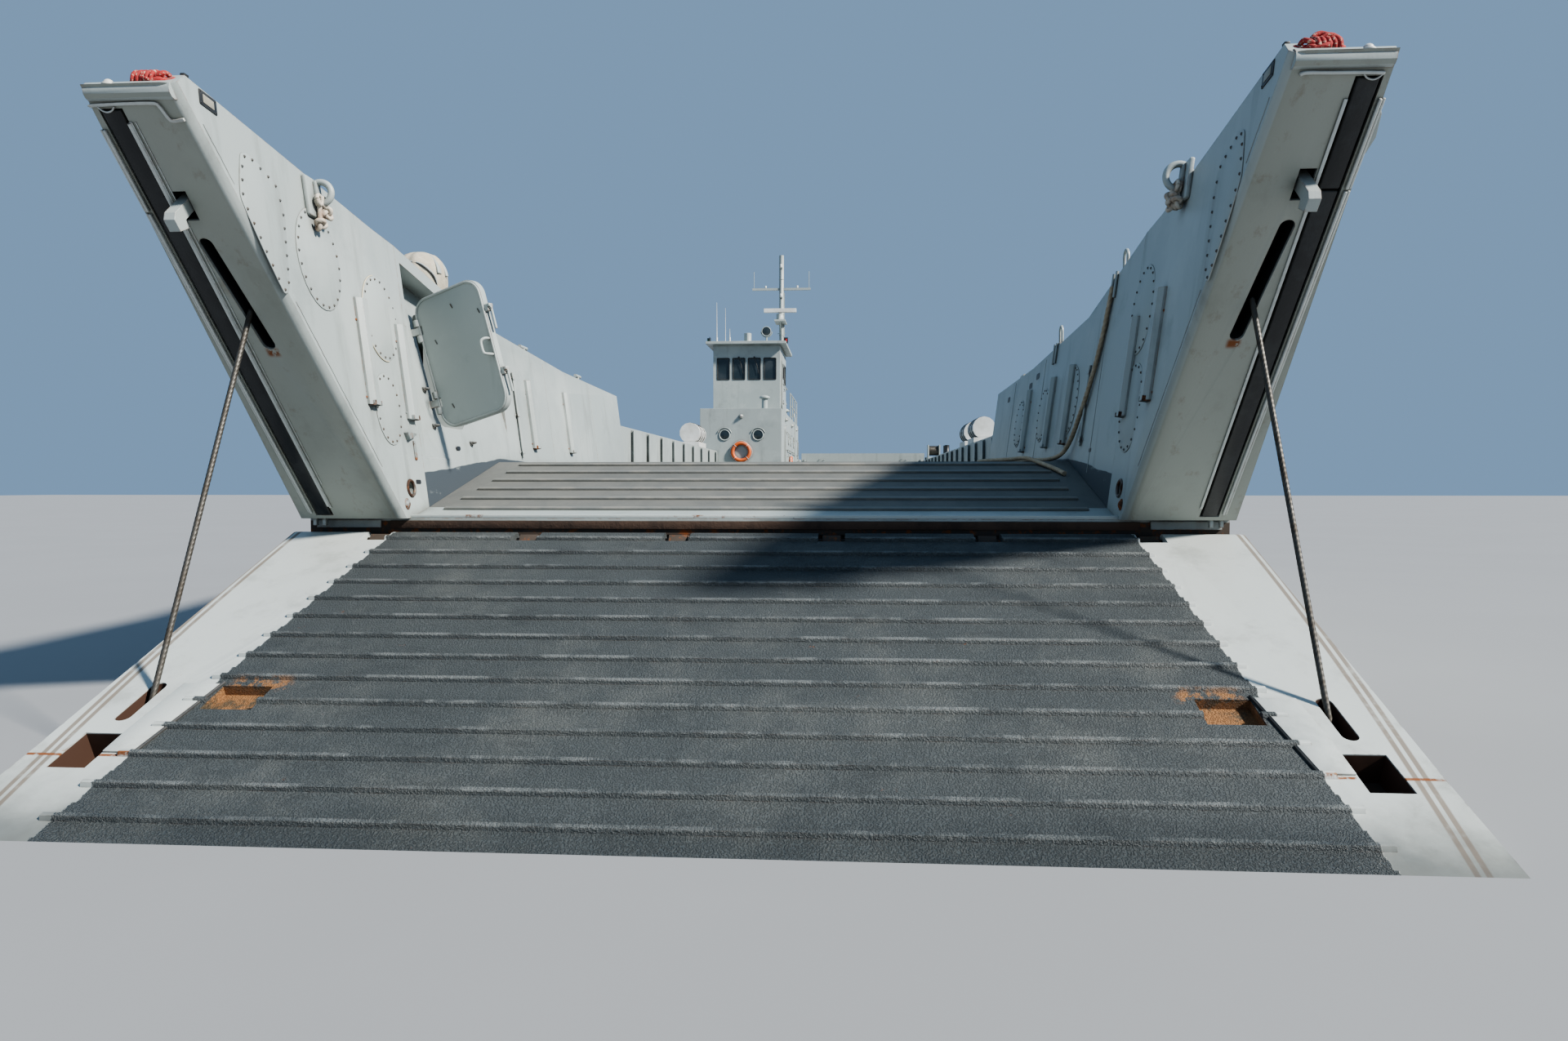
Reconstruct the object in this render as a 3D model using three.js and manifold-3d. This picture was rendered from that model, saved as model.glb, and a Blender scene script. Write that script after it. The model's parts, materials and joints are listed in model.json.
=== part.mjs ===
// Utility landing craft, as a 1:2 scale model: steel hull, bow ramp between two raked horns, wing walls,
// starboard deckhouse with pilothouse, stern gate, twin screws in nozzles.
// +X is forward, +Y is port, +Z is up. The origin is the middle of the flat bottom.
// Shapes are drawn in the metres of the full-size craft, and the craft's group scales them to the model.

import * as THREE from 'three';
import Module from 'manifold-3d';
import { mergeVertices } from 'three/addons/utils/BufferGeometryUtils.js';

const wasm = await Module();
wasm.setup();

const MODEL_SCALE = 1 / 2;
const GAP = 0.0006; // running gap between touching pieces, 0.3 mm on the model

// Main stations along the craft
const HINGE_X = 19.0; // ramp hinge line, forward edge of the bow sill
const STERN_X = -19.5;
const SILL_Z = 2.17; // top of the bow sill above the flat bottom
const DECK_Z = 2.57; // cargo deck
const HALF_BEAM = 4.42;
const WALL_TOP_Z = 3.53; // wing walls amidships
const WELL_HALF = 3.81; // cargo well, half width
const GATE_STBD_Y = -1.62; // starboard side of the stern opening
const WELL_PLATE = { x0: -7.5, x1: 9.9, half: 3.78, rise: 0.012 }; // wear plating on the cargo deck

// Bow
const FACE_RAKE = THREE.MathUtils.degToRad(46.3); // horn face above the horizontal
const FACE_FOOT_X = 0.115; // the face's plane meets the sill's level this far ahead of the hinge line
// The horn's level top, the low bulwark that the inner wall makes beside it, and its cut corner
const HORN_TOP = { z: 1.952, bulwarkOuter: 2.42, frontX: 1.965, cornerX: 1.88, cornerZ: 2.021 };
const WALL_FLARE = 0.13; // the inner walls lean out by this much for each metre up
const INCLINE_RUN = 1.9;
const FAIRLEAD = { x: -0.06, z: 0.19, radius: 0.045, depth: 0.25 };
const ROPE_SLOT = { from: 1.29, fromY: 2.5, to: 1.95, toY: 2.57, width: 0.07, depth: 0.34 };
const DOG_SLOT = { y: 2.575, at: 2.12, length: 0.15, width: 0.074, depth: 0.2 };
const DOG = { back: -0.03, front: 0.034, barb: -0.07, stand: 0.15, barbStand: 0.085, half: 0.028 };
const SEAL = { from: 0.03, fromY: 2.69, to: 2.59, toY: 2.69, width: 0.11, stand: 0.014, depth: 0.03 };
const NOSE_RADIUS = 0.06; // round edge between the horn's inner wall and its face
const LIP = { at: 2.655, radius: 0.04, sunk: 0.022, innerY: 2.37, outerY: 2.765 };

// Ramp, in its own frame: s runs from the hinge axis to the toe, z is up from the axis
const RAMP_SLOPE = THREE.MathUtils.degToRad(21.04);
const AXIS = { x: 0.1, z: -0.14 }; // hinge axis from the sill's forward edge
const RAMP = { top: 0.057, seam: 2.297, length: 3.15, hingeHalf: 2.903, seamHalf: 2.842, toeHalf: 2.84 };
const RAMP_UNDER = { root: -0.057, full: -0.19, fullAt: 0.45, toe: -0.02 };
const RAMP_BARS = { rise: 0.018, width: 0.05, first: 0.09, pitch: 0.2, hingeHalf: 2.28, growth: 0.07 };
const RAMP_SLOT = { y: 2.613, from: 1.745, to: 2.055, width: 0.07 };
const RAMP_HOLE = { y: 2.61, at: 2.267, length: 0.24, width: 0.17 };
const RAMP_POCKET = { y: 2.19, at: 1.86, length: 0.19, width: 0.24, depth: 0.05 };
const ROPE = { radius: 0.014, pin: 0.025, hornAt: 1.4, hornDeep: 0.15, rampAt: 1.93, rampDeep: 0.07 };
const HINGE_PIN_RADIUS = 0.022;
const HINGE_BORE_RADIUS = 0.0228;
const HINGE_NOTCHES = [-2.35, -1.4, -0.47, 0.47, 1.4, 2.35];
const HINGE_NOTCH_WIDTH = 0.16;
const HINGE_LUG_WIDTH = 0.11;

// Bow watertight door on the starboard side, drawn closed and then swung open
const DOOR = { x: -0.72, z: 0.58, width: 0.6, height: 0.93, thick: 0.05, corner: 0.12, open: -110 };
const DOOR_HINGES = [0.2, 0.72]; // heights up the leaf
const DOOR_PIN = { radius: 0.01, bore: 0.0107, barrel: 0.022, half: 0.08 };
const ALCOVE = { from: -0.36, to: -2.2, footY: 2.27, lean: 0.26, topDrop: 0.09 };

// Deckhouse and pilothouse
const HOUSE = { x0: -17.9, x1: -7.6, y0: -4.36, y1: -1.68, height: 2.35, wall: 0.07 };
const PILOT = { x0: -12.4, x1: -9.3, y0: -4.15, y1: -1.85, height: 2.3, wall: 0.06 };
const HOUSE_DOOR = { width: 0.66, height: 1.62, sill: 0.24, thick: 0.05 };
const WINDOW = { sill: 1.12, height: 0.72 };

// Stern gear
const SCREW = { x: -17.25, y: 1.95, z: 0.72, hub: 0.11 };
const SHAFT = { radius: 0.045, bearing: 0.0468, inboard: -13.9 };
const NOZZLE = { inner: 0.6, outer: 0.69, length: 0.62 };
const RUDDER = { x: -18.35, chord: 0.95, height: 1.15, thick: 0.13 };
const GATE = { height: 1.25, thick: 0.12, axisX: STERN_X + 0.1, axisZ: DECK_Z + 0.06, barrel: 0.045 };
const GATE_PIN_RADIUS = 0.02;
const GATE_BORE_RADIUS = 0.0211;
const GATE_LUGS = [-1.1, 0.3, 1.9, 3.3];

// Hawser: it hangs from the fore hoop on the port wall and ends bare on the deck. Its route is given from
// the hinge line and the sill: ahead, to port, up
const HOOPS = [-1.02, -3.06];
const HAWSER_RADIUS = 0.018;
const HAWSER_ROUTE = [
  [-1.02, 2.412, 1.6], [-1.06, 2.39, 1.44], [-1.13, 2.37, 1.26], [-1.24, 2.345, 1.06], [-1.38, 2.322, 0.88],
  [-1.53, 2.3, 0.72], [-1.7, 2.276, 0.56], [-1.86, 2.243, 0.46], [-2.05, 2.19, 0.4215], [-2.3, 2.14, 0.4215],
  [-2.6, 2.12, 0.4215], [-2.88, 2.1, 0.4215], [-3.07, 2.02, 0.4215], [-3.13, 1.9, 0.4215], [-3.05, 1.78, 0.4215],
  [-2.86, 1.72, 0.4215], [-2.6, 1.74, 0.4215], [-2.35, 1.8, 0.4215], [-2.12, 1.88, 0.4215], [-1.9, 1.97, 0.4245],
  [-1.7, 2.05, 0.3815], [-1.5, 2.11, 0.3385], [-1.3, 2.15, 0.2965],
];

const deg = THREE.MathUtils.degToRad;
const craft = new THREE.Group();
craft.scale.setScalar(1000 * MODEL_SCALE);

const FINISH = {
  haze: { color: 0x9aa09b, roughness: 0.55, metalness: 0.1 },
  deck: { color: 0x4c5459, roughness: 0.9, metalness: 0.05 },
  steel: { color: 0x6f6a62, roughness: 0.6, metalness: 0.6 },
  rubber: { color: 0x15161a, roughness: 0.8, metalness: 0 },
  bronze: { color: 0xa57b3c, roughness: 0.4, metalness: 0.9 },
  black: { color: 0x1c1d1f, roughness: 0.6, metalness: 0.1 },
  white: { color: 0xd9d8d0, roughness: 0.5, metalness: 0 },
  rope: { color: 0x9a7f5a, roughness: 0.95, metalness: 0 },
  canvas: { color: 0xb9ab8b, roughness: 0.95, metalness: 0 },
};

function add(name, geometry, finish, parent = craft) {
  const mesh = new THREE.Mesh(geometry, new THREE.MeshStandardMaterial(FINISH[finish]));
  mesh.name = name;
  parent.add(mesh);
  return mesh;
}

// Solids and booleans

function toSolid(geometry) {
  const bare = geometry.clone();
  bare.deleteAttribute('normal');
  bare.deleteAttribute('uv');
  const merged = mergeVertices(bare, 1e-5);
  return new wasm.Manifold(new wasm.Mesh({
    numProp: 3,
    vertProperties: new Float32Array(merged.attributes.position.array),
    triVerts: new Uint32Array(merged.index.array),
  }));
}

function toGeometry(solid) {
  const mesh = solid.getMesh();
  const geometry = new THREE.BufferGeometry();
  geometry.setAttribute('position', new THREE.BufferAttribute(new Float32Array(mesh.vertProperties), 3));
  geometry.setIndex(new THREE.BufferAttribute(new Uint32Array(mesh.triVerts), 1));
  geometry.computeVertexNormals();
  return geometry;
}

function cut(body, ...tools) {
  let solid = toSolid(body);
  for (const tool of tools) solid = solid.subtract(toSolid(tool));
  return toGeometry(solid);
}

function join(...bodies) {
  let solid = toSolid(bodies[0]);
  for (const body of bodies.slice(1)) solid = solid.add(toSolid(body));
  return toGeometry(solid);
}

function common(body, tool) {
  return toGeometry(toSolid(body).intersect(toSolid(tool)));
}

// Basic shapes

function box(x0, x1, y0, y1, z0, z1) {
  const geometry = new THREE.BoxGeometry(x1 - x0, y1 - y0, z1 - z0);
  return geometry.translate((x0 + x1) / 2, (y0 + y1) / 2, (z0 + z1) / 2);
}

function rod(radius, from, to, sides = 12) {
  const start = new THREE.Vector3(...from);
  const run = new THREE.Vector3(...to).sub(start);
  const geometry = new THREE.CylinderGeometry(radius, radius, run.length(), sides);
  const turn = new THREE.Quaternion().setFromUnitVectors(new THREE.Vector3(0, 1, 0), run.clone().normalize());
  return geometry.applyQuaternion(turn).translate(...start.addScaledVector(run, 0.5).toArray());
}

// A side profile in x and z, as thick as y0 to y1
function sidePlate(points, y0, y1) {
  const shape = new THREE.Shape(points.map(([x, z]) => new THREE.Vector2(x, z)));
  const geometry = new THREE.ExtrudeGeometry(shape, { depth: y1 - y0, bevelEnabled: false, curveSegments: 6 });
  return geometry.rotateX(Math.PI / 2).translate(0, y1, 0);
}

// A plan in x and y, from z0 to z1
function planPlate(points, z0, z1) {
  const shape = new THREE.Shape(points.map(([x, y]) => new THREE.Vector2(x, y)));
  const geometry = new THREE.ExtrudeGeometry(shape, { depth: z1 - z0, bevelEnabled: false, curveSegments: 6 });
  return geometry.translate(0, 0, z0);
}

// A rectangle with rounded corners in x and z, as thick as y0 to y1
function roundedPlate(x0, x1, z0, z1, y0, y1, radius) {
  const shape = new THREE.Shape();
  shape.moveTo(x0 + radius, z0);
  shape.lineTo(x1 - radius, z0);
  shape.absarc(x1 - radius, z0 + radius, radius, -Math.PI / 2, 0, false);
  shape.absarc(x1 - radius, z1 - radius, radius, 0, Math.PI / 2, false);
  shape.absarc(x0 + radius, z1 - radius, radius, Math.PI / 2, Math.PI, false);
  shape.absarc(x0 + radius, z0 + radius, radius, Math.PI, Math.PI * 1.5, false);
  const geometry = new THREE.ExtrudeGeometry(shape, { depth: y1 - y0, bevelEnabled: false, curveSegments: 4 });
  return geometry.rotateX(Math.PI / 2).translate(0, y1, 0);
}

// A skin through rings of the same number of points, closed by a fan at each end
function loft(rings) {
  const count = rings[0].length;
  const index = [];
  for (let r = 0; r + 1 < rings.length; r++) {
    for (let i = 0; i < count; i++) {
      const a = r * count + i;
      const b = r * count + (i + 1) % count;
      index.push(a, b, b + count, a, b + count, a + count);
    }
  }
  const last = (rings.length - 1) * count;
  for (let i = 1; i + 1 < count; i++) {
    index.push(0, i + 1, i, last, last + i, last + i + 1);
  }
  const geometry = new THREE.BufferGeometry();
  geometry.setAttribute('position', new THREE.Float32BufferAttribute(rings.flat(2), 3));
  geometry.setIndex(index);
  return outward(geometry);
}

function outward(geometry) {
  const p = geometry.attributes.position;
  const t = geometry.index.array;
  const [a, b, c] = [new THREE.Vector3(), new THREE.Vector3(), new THREE.Vector3()];
  let volume = 0;
  for (let i = 0; i < t.length; i += 3) {
    a.fromBufferAttribute(p, t[i]);
    b.fromBufferAttribute(p, t[i + 1]);
    c.fromBufferAttribute(p, t[i + 2]);
    volume += a.dot(b.cross(c));
  }
  if (volume < 0) {
    const turned = Array.from(t);
    for (let i = 0; i < turned.length; i += 3) [turned[i], turned[i + 1]] = [turned[i + 1], turned[i]];
    geometry.setIndex(turned);
  }
  return geometry;
}

function mirrored(geometry) {
  const other = mergeVertices(toGeometry(toSolid(geometry)));
  other.scale(1, -1, 1);
  return outward(other);
}

// Lines of the bow, from stations ahead of the hinge line. Heights are above the sill.
// x, inner wall's half width at the sill's level, outer half width, wall top, deck
const BOW_LINES = [
  { x: 2.4, inner: 2.07, outer: 2.75, top: 2.075, deck: 0 },
  { x: 0.0, inner: 2.2, outer: 2.86, top: 1.825, deck: 0 },
  { x: -0.3, inner: 2.2, outer: 2.93, top: 1.79, deck: 0.4 * 0.3 / INCLINE_RUN },
  { x: -INCLINE_RUN, inner: 2.25, outer: 3.35, top: 1.53, deck: 0.4 },
  { x: -4.2, inner: 2.25, outer: 3.98, top: 1.4, deck: 0.4 },
  { x: -6.6, inner: 2.25, outer: 4.38, top: 1.36, deck: 0.4 },
  { x: -7.4, inner: 2.75, outer: HALF_BEAM, top: 1.36, deck: 0.4 },
  { x: -9.0, inner: 3.74, outer: HALF_BEAM, top: 1.36, deck: 0.4 },
];

function bowLineAt(x, column) {
  const fore = BOW_LINES.findLast((line) => line.x >= x);
  const aft = BOW_LINES.find((line) => line.x < x) ?? fore;
  const share = fore === aft ? 0 : (fore.x - x) / (fore.x - aft.x);
  return fore[column] + (aft[column] - fore[column]) * share;
}

function bowRing(line, lift) {
  const x = HINGE_X + line.x;
  const innerAt = (height) => line.inner + WALL_FLARE * Math.max(0, height);
  const low = line.deck + lift;
  return [
    [x, innerAt(low), SILL_Z + low],
    [x, line.outer, SILL_Z + low],
    [x, line.outer, SILL_Z + line.top],
    [x, innerAt(line.top), SILL_Z + line.top],
  ];
}

function bowSide(lines) {
  return loft(lines.map((line) => bowRing(line, GAP)));
}

// A block whose top lies along the horn face, out to the given distance off the face
function aheadOfFace(offset) {
  const along = [Math.cos(FACE_RAKE), Math.sin(FACE_RAKE)];
  const normal = [Math.sin(FACE_RAKE), -Math.cos(FACE_RAKE)];
  const at = (s, n) => [
    HINGE_X + FACE_FOOT_X + s * along[0] + n * normal[0],
    SILL_Z + s * along[1] + n * normal[1],
  ];
  return sidePlate([at(-2, offset), at(-2, 3), at(6, 3), at(6, offset)], -5, 5);
}

// Lays a shape drawn in s up the face, y across and depth into it onto the horn face
function ontoFace(geometry) {
  return geometry.rotateY(-FACE_RAKE).translate(HINGE_X + FACE_FOOT_X, 0, SILL_Z);
}

function onFace(s0, s1, y0, y1, n0, n1) {
  return ontoFace(box(s0, s1, y0, y1, -n1, -n0));
}

function hornPort() {
  const lines = BOW_LINES.slice(0, 3);
  const blank = bowSide(lines);
  const topTrim = box(HINGE_X - 0.5, HINGE_X + 3, HORN_TOP.bulwarkOuter, 5, SILL_Z + HORN_TOP.z, 6);
  const rise = (HORN_TOP.cornerZ - HORN_TOP.z) / (HORN_TOP.frontX - HORN_TOP.cornerX);
  const cheekTrim = sidePlate([
    [HINGE_X + HORN_TOP.frontX, SILL_Z + HORN_TOP.z],
    [HINGE_X + HORN_TOP.frontX - 0.2, SILL_Z + HORN_TOP.z + 0.2 * rise],
    [HINGE_X + HORN_TOP.frontX - 0.2, 6], [HINGE_X + 3, 6], [HINGE_X + 3, SILL_Z + HORN_TOP.z],
  ], -5, 5);
  const slot = ropeSlot();
  const dog = onFace(DOG_SLOT.at - DOG_SLOT.length / 2, DOG_SLOT.at + DOG_SLOT.length / 2,
    DOG_SLOT.y - DOG_SLOT.width / 2, DOG_SLOT.y + DOG_SLOT.width / 2, -DOG_SLOT.depth, 0.05);
  const fairlead = rod(FAIRLEAD.radius, [HINGE_X + FAIRLEAD.x, 1.9, SILL_Z + FAIRLEAD.z],
    [HINGE_X + FAIRLEAD.x, 2.2 + FAIRLEAD.depth, SILL_Z + FAIRLEAD.z], 16);
  const seal = faceStrip(SEAL, -SEAL.depth, 0.1, GAP);
  const body = cut(blank, aheadOfFace(0), topTrim, cheekTrim, slot, dog, fairlead, seal, noseCutter());
  const reach = ROPE_SLOT.width / 2 + 0.02;
  const pin = rod(ROPE.pin, facePoint(ROPE.hornAt, ropeSlotY(ROPE.hornAt) - reach, -ROPE.hornDeep),
    facePoint(ROPE.hornAt, ropeSlotY(ROPE.hornAt) + reach, -ROPE.hornDeep));
  const lip = rod(LIP.radius, facePoint(LIP.at, LIP.innerY, -LIP.sunk), facePoint(LIP.at, LIP.outerY, -LIP.sunk));
  return join(body, pin, lip);
}

function ropeSlotY(s) {
  return ROPE_SLOT.fromY + (ROPE_SLOT.toY - ROPE_SLOT.fromY) * (s - ROPE_SLOT.from) / (ROPE_SLOT.to - ROPE_SLOT.from);
}

// A strip with a round end at each end of it
function ropeSlot() {
  const half = ROPE_SLOT.width / 2;
  const ends = [ROPE_SLOT.from + half, ROPE_SLOT.to - half].map((s) => ({ s, y: ropeSlotY(s) }));
  const strip = { from: ends[0].s, fromY: ends[0].y, to: ends[1].s, toY: ends[1].y, width: ROPE_SLOT.width };
  const rounds = ends.map(({ s, y }) => rod(half, facePoint(s, y, -ROPE_SLOT.depth), facePoint(s, y, 0.05), 16));
  return join(faceStrip(strip, -ROPE_SLOT.depth, 0.05), ...rounds);
}

// What is left outside the round edge between the inner wall and the face
function noseCutter() {
  const facets = 4;
  const clear = 0.05;
  const ring = (s) => {
    const [x, , z] = facePoint(s, 0, 0);
    const edge = 2.2 - 0.0542 * (x - HINGE_X) + WALL_FLARE * (z - SILL_Z);
    const points = [[s, edge - clear, -clear], [s, edge + NOSE_RADIUS, -clear]];
    for (let i = 0; i <= facets; i++) {
      const angle = Math.PI / 2 * (1 - i / facets);
      const inFromFace = NOSE_RADIUS * (1 - Math.sin(angle));
      points.push([s, edge + NOSE_RADIUS * (1 - Math.cos(angle)), inFromFace]);
    }
    points.push([s, edge - clear, NOSE_RADIUS]);
    return points;
  };
  return ontoFace(loft([ring(-0.3), ring(3)]));
}

// A strip up the face between two places on it, as wide as its width and from n0 to n1 off the face
function faceStrip({ from, fromY, to, toY, width }, n0, n1, grow = 0) {
  const half = width / 2 + grow;
  const ring = (s, y) => [[s, y - half, -n1], [s, y + half, -n1], [s, y + half, -n0], [s, y - half, -n0]];
  return ontoFace(loft([ring(from - grow, fromY), ring(to + grow, toY)]));
}

function sealPort() {
  return faceStrip(SEAL, -SEAL.depth + GAP, SEAL.stand);
}

// The hook that holds the closed ramp: an arm out of its slot, with a barb towards the sill
function dogPort() {
  const root = -DOG_SLOT.depth + GAP;
  const outline = [
    [DOG.back, root], [DOG.front, root], [DOG.front, DOG.stand - 0.03], [DOG.front - 0.022, DOG.stand],
    [DOG.barb + 0.02, DOG.stand], [DOG.barb, DOG.barbStand], [DOG.back, DOG.barbStand - 0.01],
  ];
  const profile = outline.map(([s, n]) => [DOG_SLOT.at + s, -n]);
  return ontoFace(sidePlate(profile, DOG_SLOT.y - DOG.half, DOG_SLOT.y + DOG.half));
}

// Half-round guards on the inner walls: station ahead of the hinge line, foot and head above the sill
const WALL_GUARDS = [
  { x: 0.36, foot: 0.69, head: 1.32 },
  { x: -0.2, foot: 0.64, head: 1.25 },
];
const AFT_GUARDS = [
  { x: -2.15, foot: 0.55, head: 1.19 },
  { x: -2.9, foot: 0.55, head: 1.17 },
  { x: -4.1, foot: 0.55, head: 1.17 },
];

function guard({ x, foot, head }, side) {
  const spread = 0.055;
  const stand = 0.045;
  const sunk = 0.03;
  const base = x > -0.3 ? 2.2 - 0.055 * Math.max(0, x) : 2.245;
  const ring = (z) => {
    const y = base + WALL_FLARE * z;
    return [
      [HINGE_X + x - spread, side * (y + sunk), SILL_Z + z],
      [HINGE_X + x + spread, side * (y + sunk), SILL_Z + z],
      [HINGE_X + x + spread, side * (y - stand * 0.4), SILL_Z + z],
      [HINGE_X + x + spread * 0.5, side * (y - stand), SILL_Z + z],
      [HINGE_X + x - spread * 0.5, side * (y - stand), SILL_Z + z],
      [HINGE_X + x - spread, side * (y - stand * 0.4), SILL_Z + z],
    ];
  };
  return loft([ring(foot), ring(head)]);
}

function bowSidePort() {
  const blank = bowSide(BOW_LINES.slice(2));
  const trimmed = cut(blank, box(HINGE_X - 0.3 - GAP, HINGE_X, -5, 5, 0, 6));
  return join(trimmed, ...AFT_GUARDS.map((row) => guard(row, 1)));
}

// The starboard side has an alcove with a doorway, and a store room behind it
function bowSideStarboard() {
  const blank = mirrored(cut(bowSide(BOW_LINES.slice(2)), box(HINGE_X - 0.3 - GAP, HINGE_X, -5, 5, 0, 6)));
  const alcoveRing = (x) => {
    const head = bowLineAt(x, 'top') - ALCOVE.topDrop;
    const foot = bowLineAt(x, 'deck') + 0.001;
    const wallY = (z) => -(ALCOVE.footY + ALCOVE.lean * (z - 0.4));
    return [
      [HINGE_X + x, -1.9, SILL_Z + foot],
      [HINGE_X + x, wallY(0.4) - 0.001, SILL_Z + 0.4],
      [HINGE_X + x, wallY(head), SILL_Z + head],
      [HINGE_X + x, -1.9, SILL_Z + head],
    ];
  };
  const alcove = loft([alcoveRing(ALCOVE.from), alcoveRing(-INCLINE_RUN)]);
  const alcoveAft = loft([alcoveRing(-INCLINE_RUN), alcoveRing(ALCOVE.to)]);
  const room = planPlate([
    [HINGE_X - 0.55, -2.66], [HINGE_X - 0.55, -2.92], [HINGE_X - 4.1, -3.88], [HINGE_X - 4.1, -2.66],
  ], SILL_Z + 0.46, SILL_Z + 1.34);
  const doorway = leaned(roundedPlate(-DOOR.width + 0.05, -0.05, 0.05, DOOR.height - 0.05, -0.6, 0.2, 0.1));
  const guards = AFT_GUARDS.slice(1).map((row) => guard(row, -1));
  return join(cut(blank, alcove, alcoveAft, room, doorway), ...guards, ...DOOR_HINGES.map(doorBracket));
}

function doorBracket(z) {
  const arm = box(-0.012, 0.012, -0.02, DOOR.thick + 0.012, z - 0.025, z + 0.025);
  const pin = rod(DOOR_PIN.radius, [0, DOOR.thick, z - DOOR_PIN.half], [0, DOOR.thick, z + DOOR_PIN.half], 12);
  return leaned(join(arm, pin));
}

// The frame of the bow door: its x runs forward along the wall, y off it, and z up the leaning wall
const doorFrame = new THREE.Matrix4()
  .makeTranslation(HINGE_X + DOOR.x, -(ALCOVE.footY + ALCOVE.lean * (DOOR.z - 0.4)), SILL_Z + DOOR.z)
  .multiply(new THREE.Matrix4().makeRotationX(Math.atan(ALCOVE.lean)));

function leaned(geometry) {
  return geometry.applyMatrix4(doorFrame);
}

function bowDoor() {
  const leaf = roundedPlate(-DOOR.width, 0, 0, DOOR.height, GAP, DOOR.thick, DOOR.corner);
  const axis = (z0, z1, radius) => rod(radius, [0, DOOR.thick, z0], [0, DOOR.thick, z1], 12);
  const barrels = DOOR_HINGES.map((z) => axis(z - DOOR_PIN.half, z + DOOR_PIN.half, DOOR_PIN.barrel));
  const bores = DOOR_HINGES.map((z) => axis(z - 0.1, z + 0.1, DOOR_PIN.bore));
  const notches = DOOR_HINGES.map((z) => box(-0.035, 0.035, -0.01, DOOR.thick + 0.035, z - 0.031, z + 0.031));
  const door = cut(join(leaf, ...barrels), ...bores, ...notches);
  door.translate(0, -DOOR.thick, 0).rotateZ(deg(DOOR.open)).translate(0, DOOR.thick, 0);
  return leaned(door);
}

// Hull, from stations: half width, top of the side, top of the bilge, half width of the bottom, and the bottom
const hullBottomAt = (x) => {
  const fore = HULL_LINES.findIndex((line) => line.x >= x);
  const [a, b] = [HULL_LINES[fore - 1], HULL_LINES[fore]];
  return a.bottom + (b.bottom - a.bottom) * (x - a.x) / (b.x - a.x);
};

const HULL_LINES = [
  { x: STERN_X, half: 4.36, top: DECK_Z, bilge: 1.75, flat: 4.0, bottom: 1.5 },
  { x: -16.2, half: HALF_BEAM, top: DECK_Z, bilge: 1.75, flat: 4.0, bottom: 1.46 },
  { x: -12.8, half: HALF_BEAM, top: DECK_Z, bilge: 0.45, flat: 4.05, bottom: 0.12 },
  { x: -11.9, half: HALF_BEAM, top: DECK_Z, bilge: 0.35, flat: 4.1, bottom: 0 },
  { x: HINGE_X - 9.0, half: HALF_BEAM, top: DECK_Z, bilge: 0.35, flat: 4.1, bottom: 0 },
  { x: HINGE_X - 6.6, half: 4.38, top: DECK_Z, bilge: 0.42, flat: 4.0, bottom: 0.02 },
  { x: HINGE_X - 4.2, half: 3.98, top: DECK_Z, bilge: 0.75, flat: 3.55, bottom: 0.3 },
  { x: HINGE_X - INCLINE_RUN, half: 3.35, top: DECK_Z, bilge: 1.25, flat: 3.0, bottom: 0.85 },
  { x: HINGE_X - 0.3, half: 2.93, top: SILL_Z + 0.4 * 0.3 / INCLINE_RUN, bilge: 1.6, flat: 2.7, bottom: 1.36 },
];

function hull() {
  const rings = HULL_LINES.map(({ x, half, top, bilge, flat, bottom }) => [
    [x, flat, bottom], [x, half, bilge], [x, half, top],
    [x, -half, top], [x, -half, bilge], [x, -flat, bottom],
  ]);
  const tubes = [-1, 1].map((side) => rod(SHAFT.bearing, [-18, side * SCREW.y, SCREW.z],
    [SHAFT.inboard - 0.05, side * SCREW.y, SCREW.z]));
  const { x0, x1, half: plateHalf, rise } = WELL_PLATE;
  return join(cut(loft(rings), ...tubes), box(x0, x1, -plateHalf, plateHalf, DECK_Z - 0.05, DECK_Z + rise));
}

// Forged sill with the hinge lugs and the ramp's hinge pin
function bowSill() {
  const back = HINGE_X - 0.3 + GAP;
  const rise = 0.4 * 0.3 / INCLINE_RUN;
  const beam = sidePlate([
    [back, 1.36], [HINGE_X - 0.06, 1.55], [HINGE_X - 0.02, 1.6], [HINGE_X - 0.02, SILL_Z - 0.1],
    [HINGE_X, SILL_Z - 0.1], [HINGE_X, SILL_Z], [back, SILL_Z + rise],
  ], -2.86, 2.86);
  const pin = rod(HINGE_PIN_RADIUS, [HINGE_X + AXIS.x, -2.82, SILL_Z + AXIS.z],
    [HINGE_X + AXIS.x, 2.82, SILL_Z + AXIS.z], 16);
  const lugs = HINGE_NOTCHES.map((y) => sidePlate([
    [HINGE_X - 0.08, SILL_Z + AXIS.z - 0.14], [HINGE_X + AXIS.x + 0.02, SILL_Z + AXIS.z - 0.045],
    [HINGE_X + AXIS.x + 0.048, SILL_Z + AXIS.z], [HINGE_X + AXIS.x + 0.02, SILL_Z + AXIS.z + 0.045],
    [HINGE_X - 0.08, SILL_Z + AXIS.z + 0.03],
  ], y - HINGE_LUG_WIDTH / 2, y + HINGE_LUG_WIDTH / 2));
  return join(beam, pin, ...lugs);
}

// Ramp

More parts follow.
